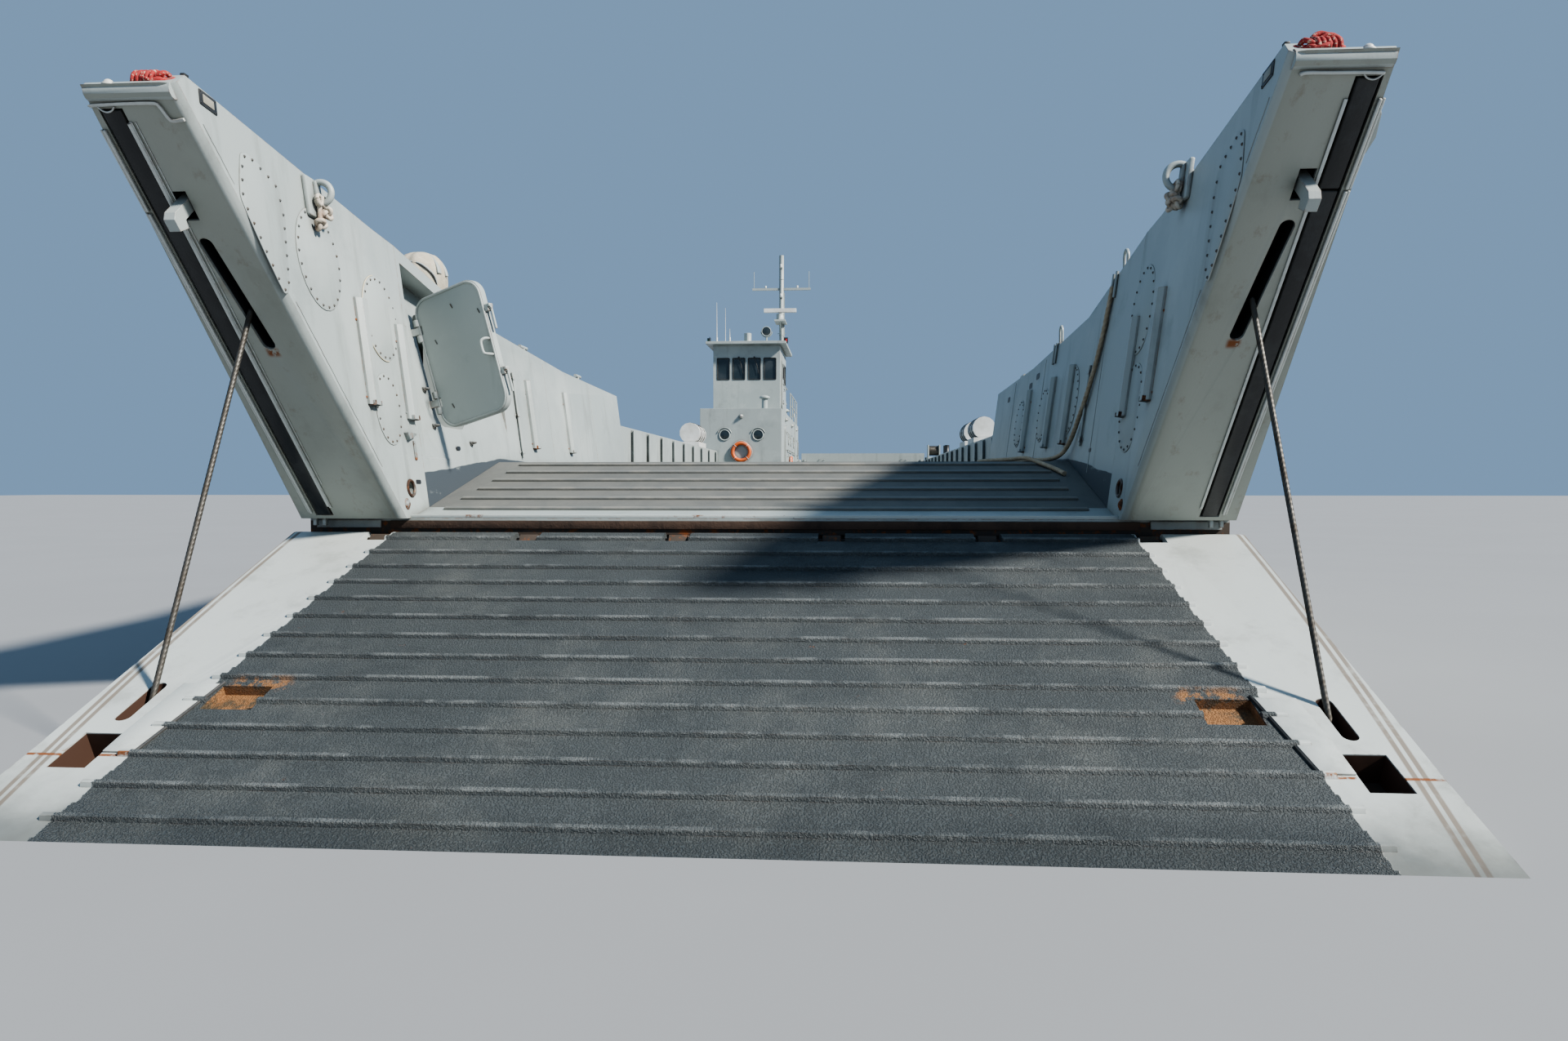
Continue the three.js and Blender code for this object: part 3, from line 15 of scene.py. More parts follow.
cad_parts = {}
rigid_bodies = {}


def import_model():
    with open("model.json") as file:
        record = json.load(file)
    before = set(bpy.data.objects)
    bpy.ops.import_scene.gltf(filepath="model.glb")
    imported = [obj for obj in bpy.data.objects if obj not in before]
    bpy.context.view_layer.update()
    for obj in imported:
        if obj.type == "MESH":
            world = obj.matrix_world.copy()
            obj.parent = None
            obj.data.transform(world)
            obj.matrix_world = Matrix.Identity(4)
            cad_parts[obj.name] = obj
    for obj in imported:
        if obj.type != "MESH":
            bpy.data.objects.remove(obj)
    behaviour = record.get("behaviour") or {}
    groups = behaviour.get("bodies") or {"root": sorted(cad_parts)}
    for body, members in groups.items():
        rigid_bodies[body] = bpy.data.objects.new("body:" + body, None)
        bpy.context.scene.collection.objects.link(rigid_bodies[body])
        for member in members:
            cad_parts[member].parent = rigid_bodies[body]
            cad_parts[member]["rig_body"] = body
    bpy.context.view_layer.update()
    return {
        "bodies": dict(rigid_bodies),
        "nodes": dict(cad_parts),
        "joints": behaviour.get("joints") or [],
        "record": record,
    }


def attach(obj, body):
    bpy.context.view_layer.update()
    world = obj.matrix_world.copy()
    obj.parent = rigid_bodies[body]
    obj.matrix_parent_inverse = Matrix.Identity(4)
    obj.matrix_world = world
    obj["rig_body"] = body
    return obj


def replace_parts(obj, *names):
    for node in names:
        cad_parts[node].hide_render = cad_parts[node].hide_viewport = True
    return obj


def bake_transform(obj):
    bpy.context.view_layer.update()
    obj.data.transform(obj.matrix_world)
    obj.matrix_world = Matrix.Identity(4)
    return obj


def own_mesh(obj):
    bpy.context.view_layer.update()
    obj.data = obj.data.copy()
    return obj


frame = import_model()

# %% [markdown]
# ## Places
# The craft is a half-size model, while a shipwright's numbers are full size. A place is a matrix
# that takes full-size metres in a handy local frame to the model's metres. The ramp, the raked
# faces of the horns and the leaning walls each get one, so that a fitting's place stays readable.

# %% Frames of the craft
MODEL_SCALE = 0.5
HINGE_X, SILL_Z = 19.0, 2.17  # forward edge of the bow sill, and its height above the flat bottom
DECK_Z = 2.57
FACE_RAKE = math.radians(46.3)  # horn face above the horizontal
RAMP_SLOPE = math.radians(21.04)
INCLINE_RUN, INCLINE_RISE = 1.9, 0.4  # from the sill to the deck
WALL_FLARE, ALCOVE_FLARE = 0.13, 0.26  # how far a wall leans out for each metre up
WATERLINE = 0.535  # on the model
SIDES = (("port", 1), ("starboard", -1))
SIDE_NAMES = {1: "port", -1: "starboard"}


def basis(ahead, across, up, at=(0, 0, 0)):
    turned = Matrix((ahead, across, up)).transposed().to_4x4()
    return Matrix.Translation(at) @ turned


def move(x, y, z=0):
    return Matrix.Translation((x, y, z))


def turn(degrees, axis):
    return Matrix.Rotation(math.radians(degrees), 4, axis)


def stretch(x, y, z):
    return Matrix.Diagonal((x, y, z, 1))


CRAFT = Matrix.Scale(MODEL_SCALE, 4)
BOW = CRAFT @ move(HINGE_X, 0, SILL_Z)  # from the hinge line, the centre line and the sill
rise, run = math.sin(FACE_RAKE), math.cos(FACE_RAKE)
FACE = BOW @ basis((0, 1, 0), (run, 0, rise), (rise, 0, -run), (0.115, 0, 0))  # across, up, out
RAMP_AXIS = BOW @ move(0.1, 0, -0.14) @ Matrix.Rotation(RAMP_SLOPE, 4, "Y")
RAMP = RAMP_AXIS @ move(0, 0, 0.057)  # down the ramp, across, off its plating

# ahead of the hinge line: x, inner wall's half width at the sill, outer half width, wall top
BOW_LINES = (
    (2.4, 2.07, 2.75, 2.075), (0.0, 2.2, 2.86, 1.825), (-0.3, 2.2, 2.93, 1.79), (-1.9, 2.25, 3.35, 1.53),
    (-4.2, 2.25, 3.98, 1.4), (-6.6, 2.25, 4.38, 1.36), (-7.4, 2.75, 4.42, 1.36), (-9.0, 3.74, 4.42, 1.36),
)
INNER, TOP = 1, 3
HORN_TOP_Z = 1.952


def bow_line(x, column):
    for fore, aft in zip(BOW_LINES, BOW_LINES[1:]):
        if fore[0] >= x >= aft[0]:
            share = (fore[0] - x) / (fore[0] - aft[0])
            return fore[column] + (aft[column] - fore[column]) * share
    return BOW_LINES[0][column]


def wall(side, x, z):
    """On the passage's wall: its own axes run ahead, up and off the wall."""
    slope = (bow_line(x + 0.02, INNER) - bow_line(x - 0.02, INNER)) / 0.04
    ahead = Vector((1, side * slope, 0)).normalized()
    up = Vector((0, side * WALL_FLARE, 1)).normalized()
    off = ahead.cross(up) * side
    y = side * (bow_line(x, INNER) + WALL_FLARE * z)
    return BOW @ basis(ahead, up, off.normalized(), (x, y, z))


def alcove(x, z):
    """On the alcove's leaning wall, the same way."""
    up = Vector((0, -ALCOVE_FLARE, 1)).normalized()
    return BOW @ basis((1, 0, 0), up, (0, up.z, -up.y), (x, -(2.27 + ALCOVE_FLARE * (z - INCLINE_RISE)), z))


def upright(x, y, z, facing):
    """On an upright plate: its own axes run across, up and off it."""
    out = Vector({"port": (0, 1, 0), "starboard": (0, -1, 0), "ahead": (1, 0, 0), "aft": (-1, 0, 0)}[facing])
    return CRAFT @ basis(Vector((0, 0, 1)).cross(out), (0, 0, 1), out, (x, y, z))


# %% [markdown]
# ## Makers
# Most fittings are a rounded slab, a bar, a ring, a dome or something drawn along a path. Each
# maker adds its shape to a mesh at a place, so one mesh can hold all the bolts of a cover. They
# use Blender's own mesh operators: a face is drawn and extruded, a circle is spun or drawn along.
# Every number they take is in full-size metres.

# %% Shapes
def rounded(bm, verts, width):
    edges = {e for v in verts for e in v.link_edges if len(e.link_faces) == 2}
    sharp = [e for e in edges if e.calc_face_angle(0) > 0.6]
    bmesh.ops.bevel(bm, geom=sharp, offset=width * MODEL_SCALE, offset_type="OFFSET", segments=2,
                    profile=0.5, affect="EDGES", material=-1, clamp_overlap=True)


def slab(bm, outline, thick, at, edge=0.0):
    """A plate with the outline given in its own plane, standing up from there by its thickness."""
    foot = [bm.verts.new((x, y, 0)) for x, y in outline]
    face = bm.faces.new(foot)
    grown = bmesh.ops.extrude_face_region(bm, geom=[face], use_keep_orig=True)["geom"]
    top = [v for v in grown if isinstance(v, bmesh.types.BMVert)]
    bmesh.ops.translate(bm, vec=(0, 0, thick), verts=top)
    bmesh.ops.transform(bm, matrix=at, verts=foot + top)
    if edge:
        rounded(bm, foot + top, edge)


def block(bm, size, at, edge=0.0):
    verts = bmesh.ops.create_cube(bm, size=1, matrix=at @ stretch(*size))["verts"]
    if edge:
        rounded(bm, verts, edge)


def disc(bm, radius, thick, at, sides=24, edge=0.0):
    verts = bmesh.ops.create_cone(bm, cap_ends=True, segments=sides, radius1=radius,
                                  radius2=radius, depth=thick, matrix=at @ move(0, 0, thick / 2))["verts"]
    if edge:
        rounded(bm, verts, edge)


def bar(bm, at, start, end, radius, sides=8, tip=None):
    start, end = at @ Vector(start), at @ Vector(end)
    run = end - start
    along = Matrix.Translation((start + end) / 2) @ run.to_track_quat("Z", "Y").to_matrix().to_4x4()
    tip = radius if tip is None else tip
    bmesh.ops.create_cone(bm, cap_ends=True, segments=sides, radius1=radius * MODEL_SCALE,
                          radius2=tip * MODEL_SCALE, depth=run.length, matrix=along)


def dome(bm, radius, at, around=16, up=8):
    bmesh.ops.create_uvsphere(bm, u_segments=around, v_segments=up, radius=radius, matrix=at)


def hoop(bm, radius, thick, at, around=24, sides=8):
    """A round ring, a small circle spun about the ring's own z axis."""
    section = bmesh.ops.create_circle(bm, segments=sides, radius=thick,
                                      matrix=move(radius, 0) @ turn(90, "X"))["verts"]
    edges = list({e for v in section for e in v.link_edges})
    before = set(bm.verts) - set(section)
    bmesh.ops.spin(bm, geom=section + edges, cent=(0, 0, 0), axis=(0, 0, 1), angle=math.tau,
                   steps=around, use_merge=True)
    bmesh.ops.transform(bm, matrix=at, verts=[v for v in bm.verts if v not in before])


def arc(wide, tall, start, span, steps):
    """Points along an oval, from a starting angle over a span."""
    angles = [start + span * i / steps for i in range(steps + 1)]
    return [(wide * math.cos(a), tall * math.sin(a)) for a in angles]


def box_round(width, height, corner, sides=4):
    """A rectangle's outline with its corners rounded."""
    outline = []
    for quarter, (sx, sy) in enumerate(((1, 1), (-1, 1), (-1, -1), (1, -1))):
        outline += [(sx * (width / 2 - corner) + x, sy * (height / 2 - corner) + y)
                    for x, y in arc(corner, corner, math.pi / 2 * quarter, math.pi / 2, sides)]
    return outline


# %% Paths: pipes and laid ropes
def smooth(points, steps=8):
    """More points on a curve that passes through those given."""
    points = [Vector(p) for p in points]
    ends = [2 * points[0] - points[1], *points, 2 * points[-1] - points[-2]]
    line = []
    for a, b, c, d in zip(ends, ends[1:], ends[2:], ends[3:]):
        for i in range(steps):
            t = i / steps
            line.append(0.5 * (2 * b + (c - a) * t + (2 * a - 5 * b + 4 * c - d) * t**2
                               + (3 * b - a - 3 * c + d) * t**3))
    return [*line, points[-1]]


def even(line, step):
    """The same line with its points a step apart."""
    spans = [(b - a).length for a, b in zip(line, line[1:])]
    count = max(2, round(sum(spans) / step))
    evened, index, past = [line[0]], 0, 0.0
    for i in range(1, count):
        goal = sum(spans) * i / count
        while past + spans[index] < goal:
            past += spans[index]
            index += 1
        evened.append(line[index].lerp(line[index + 1], (goal - past) / spans[index]))
    return [*evened, line[-1]]


def sweep(bm, line, radius, sides, lobes=0, lay=1.0):
    """Draws a round or lobed section along a line. Lobes make the strands of a laid rope, which
    go once round it in each lay."""
    section = bmesh.ops.create_circle(bm, cap_ends=True, segments=sides, radius=radius * MODEL_SCALE)["verts"]
    for v in section if lobes else ():
        v.co *= 0.86 + 0.14 * abs(math.cos(lobes / 2 * math.atan2(v.co.y, v.co.x)))
    ring = list({e for v in section for e in v.link_edges})
    here, side, gone, start = Matrix(), None, 0.0, line[0]
    for i, point in enumerate(line):
        ahead = (line[min(i + 1, len(line) - 1)] - line[max(i - 1, 0)]).normalized()
        side = (side or ahead.orthogonal()).normalized()
        side = (side - ahead * side.dot(ahead)).normalized()
        gone += (point - start).length
        start = point
        twist = Matrix.Rotation(math.tau * gone / lay, 4, "Z") if lobes else Matrix()
        there = basis(side, ahead.cross(side), ahead, point) @ twist
        if i:
            grown = bmesh.ops.extrude_edge_only(bm, edges=ring)["geom"]
            section = [v for v in grown if isinstance(v, bmesh.types.BMVert)]
            known = set(section)
            ring = [e for e in grown if isinstance(e, bmesh.types.BMEdge) and known.issuperset(e.verts)]
        bmesh.ops.transform(bm, matrix=there @ here.inverted(), verts=section)
        here = there
    bmesh.ops.edgeloop_fill(bm, edges=ring)


def draw(bm, at, points, radius, sides=8, steps=0, lobes=0, lay=1.0):
    """A pipe or rope along points of a place. With steps, it curves through them."""
    line = [at @ Vector(p) for p in points]
    sweep(bm, smooth(line, steps) if steps else line, radius, sides, lobes, lay)


def bead(bm, at, outline, radius, sides, gap):
    """A bead all round an outline in a place's own plane."""
    line = [at @ Vector((x, y, 0)) for x, y in outline]
    sweep(bm, even([*line, line[0]], gap), radius, sides)


def bolts(bm, places, radius, at):
    """Low domed heads, a few faces each."""
    for x, y in places:
        spot = at @ move(x, y) @ stretch(1, 1, 0.75)
        bmesh.ops.create_cone(bm, cap_ends=True, segments=6, radius1=radius, radius2=radius * 0.62,
                              depth=radius, matrix=spot @ move(0, 0, radius / 2))


# %% [markdown]
# ## Finishes
# Every surface here is old paint on steel, or something that has stood in salt spray. A finish is
# built in coats: the base colour, then patches of touched-up paint, streaks, rust where edges are
# worn, and painted shade that darkens the corners. Each coat is a mask and a colour, so this
# small class keeps the running colour, roughness and height, and lays one coat over another.

# %% A finish laid in coats
class Finish:
    def __init__(self, name, colour, roughness):
        self.material = bpy.data.materials.new(name)
        self.material.use_nodes = True
        self.tree = self.material.node_tree
        self.tree.nodes.clear()
        self.place = self.add("TexCoord").outputs["Object"]
        self.normal = self.add("NewGeometry").outputs["Normal"]
        self.colour, self.roughness, self.bumps = (*colour, 1), roughness, None

    def add(self, kind, **settings):
        """A node, with capitalised names for its sockets and small ones for its options."""
        node = self.tree.nodes.new("ShaderNode" + kind)
        for key, value in settings.items():
            if key[0].islower():
                setattr(node, key, value)
        for key, value in settings.items():
            if key[0].isupper():
                self.feed(node.inputs[key.replace("_", " ")], value)
        return node

    def feed(self, socket, value):
        if isinstance(value, bpy.types.NodeSocket):
            self.tree.links.new(value, socket)
        else:
            socket.default_value = value

    def calc(self, operation, *values):
        node = self.add("Math", operation=operation)
        for socket, value in zip(node.inputs, values):
            self.feed(socket, value)
        return node.outputs[0]

    def times(self, first, *others):
        """Where all the masks are strong."""
        for other in others:
            first = self.calc("MULTIPLY", first, other)
        return first

    def ramp(self, value, low, high, start=0.0, end=1.0):
        return self.add("MapRange", interpolation_type="SMOOTHSTEP", Value=value, From_Min=low,
                        From_Max=high, To_Min=start, To_Max=end).outputs[0]

    def noise(self, scale, detail=4, rough=0.6, squeeze=(1, 1, 1)):
        place = self.add("Mapping", Vector=self.place, Scale=squeeze).outputs[0]
        return self.add("TexNoise", Vector=place, Scale=scale, Detail=detail, Roughness=rough).outputs["Fac"]

    def spots(self, scale, detail, rough, low, high, start=0.0, end=1.0, squeeze=(1, 1, 1)):
        """Where a noise is strong."""
        return self.ramp(self.noise(scale, detail, rough, squeeze), low, high, start, end)

    def ragged(self, value, reach, *grain):
        """A distance that wavers, so that an edge drawn from it is ragged."""
        return self.calc("ADD", value, self.ramp(self.noise(*grain), 0, 1, -reach, reach))

    def away(self, value, middle):
        """How far a distance is from a middle one."""
        return self.calc("ABSOLUTE", self.calc("SUBTRACT", value, middle))

    def dot(self, one, other):
        node = self.add("VectorMath", operation="DOT_PRODUCT")
        self.feed(node.inputs[0], one)
        self.feed(node.inputs[1], other)
        return node.outputs["Value"]

    def along(self, frame, axis):
        """The distance along one axis of a place, in full-size metres."""
        row = frame.inverted()[axis]
        return self.calc("ADD", self.dot(self.place, tuple(row[:3])), row[3])

    def facing(self, direction, low, high):
        """Where the surface looks in a direction."""
        return self.ramp(self.dot(self.normal, tuple(Vector(direction).normalized())), low, high)

    def edges(self, radius=0.006):
        """Where the surface turns over an edge."""
        soft = self.add("Bevel", samples=4, Radius=radius).outputs[0]
        return self.ramp(self.calc("SUBTRACT", 1.0, self.dot(soft, self.normal)), 0.015, 0.16)

    def corners(self, reach=0.05):
        """Where other surfaces close in, for painting shade into the corners."""
        return self.ramp(self.add("AmbientOcclusion", samples=6, Distance=reach).outputs["AO"], 0.95, 0.45)

    def over(self, mask, colour, roughness=None):
        mix = self.add("Mix", data_type="RGBA")
        for index, value in ((0, mask), (6, self.colour), (7, (*colour, 1))):
            self.feed(mix.inputs[index], value)
        self.colour = mix.outputs[2]
        if roughness is not None:
            sheen = self.add("Mix", data_type="FLOAT")
            for index, value in ((0, mask), (2, self.roughness), (3, roughness)):
                self.feed(sheen.inputs[index], value)
            self.roughness = sheen.outputs[0]

    def raise_by(self, height, depth):
        """Lifts the surface by a height pattern, depth metres high."""
        bump = self.add("Bump", Height=height, Distance=depth, Strength=1.0)
        if self.bumps:
            self.feed(bump.inputs["Normal"], self.bumps)
        self.bumps = bump.outputs[0]

    def close(self, **gloss):
        shader = self.add("BsdfPrincipled", Base_Color=self.colour, Roughness=self.roughness, **gloss)
        if self.bumps:
            self.feed(shader.inputs["Normal"], self.bumps)
        self.feed(self.add("OutputMaterial").inputs[0], shader.outputs[0])
        return self.material


# %% Colours, as linear light
HAZE = (0.345, 0.385, 0.375)
HAZE_PALE = (0.46, 0.50, 0.48)
HAZE_DARK = (0.22, 0.25, 0.245)
MARGIN = (0.47, 0.50, 0.48)
# The grime colour is also used to paint shade into corners.
GRIME_AND_SHADE = (0.075, 0.07, 0.055)
RUST = (0.19, 0.065, 0.02)
RUST_BRIGHT = (0.30, 0.15, 0.062)
RUST_DARK = (0.055, 0.026, 0.015)
GRIT = (0.064, 0.074, 0.076)
GRIT_WORN = (0.128, 0.135, 0.127)
BLACK = (0.012, 0.014, 0.016)
FINISHES = {}
print("haze grey", HAZE)

# %% [markdown]
# ## Haze-grey paint
# Ship's paint goes on with a roller over older coats, so it's never one grey: patches of newer
# paint differ a little, water leaves faint streaks, salt lifts it at the edges, and rust bleeds
# out. The plates also bulge softly between their frames. All the painted steel shares these coats
# through one function, and each piece then lays its own bands and decks over them.


# %% Painted steel
def paint(name, tone=HAZE, roughness=0.42, rust=0.5, dents=0.004):
    coat = Finish(name, tone, roughness)
    coat.over(coat.spots(1.6, 5, 0.62, 0.5, 0.62, 0, 0.35), HAZE_PALE)
    coat.over(coat.spots(2.4, 6, 0.7, 0.53, 0.7, 0, 0.4), HAZE_DARK, roughness + 0.12)
    coat.over(coat.spots(9, 5, 0.6, 0.54, 0.75, 0, 0.28, (1, 1, 0.12)), GRIME_AND_SHADE, 0.6)
    coat.over(coat.spots(46, 3, 0.7, 0.66, 0.75, 0, 0.35), HAZE_PALE)
    # Painted shade: corners and creases are darkened by ambient occlusion, in the grime colour.
    coat.over(coat.times(coat.corners(), coat.spots(5, 4, 0.6, 0.3, 0.7, 0.2, 0.75)), GRIME_AND_SHADE, 0.7)
    coat.over(coat.times(coat.edges(), coat.spots(26, 6, 0.75, 0.47, 0.56), rust), RUST, 0.85)
    pits = coat.spots(17, 7, 0.78, 0.72 - 0.05 * rust, 0.76 - 0.04 * rust)
    coat.over(coat.times(pits, rust), RUST_DARK, 0.9)
    coat.raise_by(coat.noise(2.3, 1, 0.4), dents)
    coat.raise_by(coat.noise(190, 3, 0.6), 0.0003)
    return coat


FINISHES["haze"] = paint("haze_paint").close()
FINISHES["haze_worn"] = paint("haze_paint_worn", rust=0.85).close()

# %% [markdown]
# ## The hull's bands
# Below the water the hull is red-brown antifouling, with a black band at the waterline. The decks
# are dark grit paint. The passage walls have a dark band along their foot. All of these are laid
# by height and by which way a surface looks, so they need no seams in the mesh.

# %% Hull paint
coat = paint("hull_paint", rust=0.6, dents=0.006)
height = coat.along(Matrix(), 2)
deck = coat.times(coat.facing((0, 0, 1), 0.55, 0.75), coat.ramp(height, 0.9, 0.95))
coat.over(deck, GRIT, 0.75)
coat.over(coat.times(deck, coat.spots(4, 8, 0.7, 0.5, 0.7), 0.55), GRIT_WORN, 0.6)
incline = coat.times(deck, coat.ramp(coat.along(BOW, 0), -2.0, -INCLINE_RUN))
sandy = coat.spots(6, 8, 0.72, 0.3, 0.65, 0.55, 0.95, (0.5, 1, 1))
coat.over(coat.times(incline, sandy), (0.155, 0.155, 0.14), 0.7)
wavy = coat.ragged(height, 0.006, 3)
coat.over(coat.ramp(wavy, 0.592, 0.588), BLACK, 0.45)
coat.over(coat.ramp(wavy, 0.502, 0.498), (0.115, 0.032, 0.022), 0.7)
coat.raise_by(coat.times(deck, coat.noise(420, 2, 0.5)), 0.0012)
FINISHES["hull"] = coat.close()

# %% The passage walls: a dark band along the foot
coat = paint("wall_paint", rust=0.55)
edge = coat.add("MapRange", Value=coat.along(BOW, 0), From_Min=-INCLINE_RUN, From_Max=0.0,
                To_Min=0.425, To_Max=0.26).outputs[0]
below = coat.calc("SUBTRACT", coat.ragged(edge, 0.02, 2.5), coat.along(BOW, 2))
inside = coat.ramp(coat.calc("ABSOLUTE", coat.along(BOW, 1)), 2.5, 2.4)
band = coat.times(inside, coat.ramp(below, -0.004, 0.004))
coat.over(band, (0.05, 0.062, 0.072), 0.6)
scuffs = coat.spots(14, 6, 0.7, 0.6, 0.66, squeeze=(0.3, 1, 1))
coat.over(coat.times(scuffs, coat.times(band, 0.6)), HAZE_DARK, 0.55)
FINISHES["walls"] = coat.close()

# %% The horns: raked faces painted darker as shade, slots painted black as shade, and rust where the rope rubs
coat = paint("horn_paint", rust=0.6)
depth_in = coat.along(FACE, 2)
over_y = coat.calc("ABSOLUTE", coat.along(FACE, 0))
up_face = coat.along(FACE, 1)
slots = coat.times(coat.ramp(over_y, 2.44, 2.45), coat.ramp(over_y, 2.76, 2.75))
window = coat.times(coat.ramp(up_face, 2.6, 2.59), coat.ramp(up_face, 0.0, 0.02))
slots = coat.times(slots, window, coat.ramp(depth_in, -0.008, -0.02))
# Painted shade: the raked faces look down, away from the sun, so they are painted a darker olive.
on_face = coat.facing((rise, 0, -run), 0.9, 0.96)
coat.over(coat.times(on_face, 0.6), (0.25, 0.26, 0.215), 0.38)
torn = coat.times(coat.ramp(coat.away(up_face, 1.27), 0.04, 0.01),
                  coat.ramp(coat.away(over_y, 2.5), 0.045, 0.02))
coat.over(coat.times(torn, coat.spots(24, 6, 0.75, 0.42, 0.5)), RUST, 0.85)
dribbles = coat.spots(20, 5, 0.7, 0.56, 0.72, 0, 0.35, (1, 1, 0.1))
coat.over(coat.times(dribbles, on_face), (0.16, 0.12, 0.07), 0.6)
# Painted shade: the deep parts of the slots along the face's outer edges are painted black.
coat.over(slots, BLACK, 0.8)
FINISHES["horn"] = coat.close()

# %% [markdown]
# ## The ramp's plating
# The roadway is dark grit paint between light painted margins. Its edge steps out a little at each
# tread bar. The real paint is scuffed to bare metal on the bars, rusty at the seam, and wet near
# the water. The pattern lives in the ramp's own frame, so it is computed from distances down and
# across the ramp.

# %% Ramp paint: grit, scuffed bars and dirty margins
coat = Finish("ramp_deck", GRIT, 0.62)
down = coat.along(RAMP, 0)
across = coat.calc("ABSOLUTE", coat.along(RAMP, 1))
off = coat.along(RAMP, 2)
coat.over(coat.spots(3.2, 8, 0.68, 0.45, 0.7, 0, 0.6), GRIT_WORN, 0.5)
coat.over(coat.spots(11, 8, 0.72, 0.5, 0.68, 0, 0.5, (1, 0.35, 1)), (0.035, 0.042, 0.045), 0.7)
crests = coat.times(coat.ramp(off, 0.011, 0.016), coat.spots(7, 7, 0.7, 0.42, 0.62, 0, 0.75))
coat.over(crests, (0.2, 0.215, 0.21), 0.42)
edge = coat.calc("MULTIPLY_ADD", coat.calc("SNAP", down, 0.2), 0.059, 2.262)
margin = coat.ramp(coat.calc("SUBTRACT", across, coat.ragged(edge, 0.007, 60, 4)), -0.003, 0.004)
coat.over(margin, MARGIN, 0.45)
coat.over(coat.times(margin, coat.spots(5, 7, 0.7, 0.5, 0.72, 0, 0.5)), (0.25, 0.26, 0.24), 0.55)
low_dirt = coat.ramp(coat.ragged(down, 0.3, 5, 6, 0.7), 2.2, 2.9, 0, 0.75)
coat.over(coat.times(low_dirt, margin), (0.20, 0.205, 0.18), 0.4)

# %% Ramp paint: the seal's track, the seam, rust and water
curve = coat.calc("MULTIPLY_ADD", down, coat.calc("MULTIPLY_ADD", down, -0.0205, -0.01), 2.885)
from_track = coat.away(across, curve)
pressed = coat.times(coat.ramp(from_track, 0.006, 0.011), coat.ramp(from_track, 0.034, 0.026),
                     coat.spots(9, 6, 0.7, 0.3, 0.5, 0.35, 0.85))
coat.over(pressed, (0.17, 0.135, 0.10), 0.7)
from_seam = coat.away(down, 2.3)
seam = coat.times(coat.ramp(from_seam, 0.012, 0.004), coat.spots(16, 6, 0.75, 0.4, 0.5), margin)
coat.over(seam, RUST, 0.85)
blots = coat.times(coat.ramp(from_seam, 0.07, 0.0), coat.spots(13, 6, 0.75, 0.56, 0.62), margin)
coat.over(blots, RUST_BRIGHT, 0.85)
coat.over(coat.spots(14, 7, 0.78, 0.67, 0.72, 0, 0.8), RUST, 0.85)
coat.over(coat.times(coat.edges(0.004), coat.spots(20, 5, 0.6, 0.5, 0.6, 0, 0.7)), RUST_DARK, 0.8)
wet = coat.ramp(coat.ragged(down, 0.25, 4, 5), 2.45, 2.85)
coat.over(coat.times(wet, 0.45), (0.03, 0.035, 0.036), 0.14)
coat.over(coat.ramp(off, -0.06, -0.07), HAZE, 0.5)
sunken = coat.ramp(off, -0.002, -0.008)
pocket = coat.times(coat.times(coat.ramp(across, 2.34, 2.33), coat.ramp(down, 1.7, 1.72)), sunken,
                    coat.ramp(across, 2.0, 2.01))
coat.over(pocket, (0.10, 0.075, 0.045), 0.7)
coat.over(coat.times(pocket, coat.spots(10, 6, 0.7, 0.45, 0.55)), RUST_BRIGHT, 0.85)
around = coat.times(coat.ramp(coat.away(across, 2.14), 0.17, 0.1),
                    coat.ramp(coat.away(down, 1.75), 0.07, 0.02))
coat.over(coat.times(around, coat.spots(22, 6, 0.75, 0.46, 0.54)), RUST_BRIGHT, 0.85)
# Dark rust and painted shade: the sunken walls inside the rope slots are painted nearly black.
in_slots = coat.times(sunken, coat.ramp(across, 2.5, 2.52), coat.ramp(across, 2.76, 2.74))
coat.over(coat.times(in_slots, coat.ramp(down, 1.6, 1.65)), RUST_DARK, 0.85)
specks = coat.spots(230, 2, 0.7, 0.42, 0.62)
coat.raise_by(coat.times(specks, coat.calc("SUBTRACT", 1.0, margin)), 0.003)
coat.raise_by(coat.noise(6, 3, 0.5), 0.003)
FINISHES["ramp"] = coat.close()


# %% [markdown]
# ## Bare and worked materials
# The rest are smaller finishes: worn steel where ropes and hinges rub the paint away, black
# rubber for the seals, fibre and wire ropes, canvas, bronze, white fibreglass, and glass. Each
# has its own grain and dust at the size the real one shows, and painted shade in its corners.

# %% Plain finishes, from one table
def plain(name, tone, dusty, roughness, grain, depth, grime=0.4, **gloss):
    """A single tone with its dust and grain, and painted shade darkening its corners."""
    coat = Finish(name, tone, roughness)
    coat.over(coat.spots(grain / 12, 5, 0.65, 0.42, 0.68, 0, 0.7), dusty, min(1, roughness + 0.2))
    # Painted shade: the corners are darkened by ambient occlusion.
    coat.over(coat.times(coat.corners(0.03), grime), GRIME_AND_SHADE, 0.8)
    coat.raise_by(coat.noise(grain, 4, 0.65), depth)
    return coat.close(**gloss)


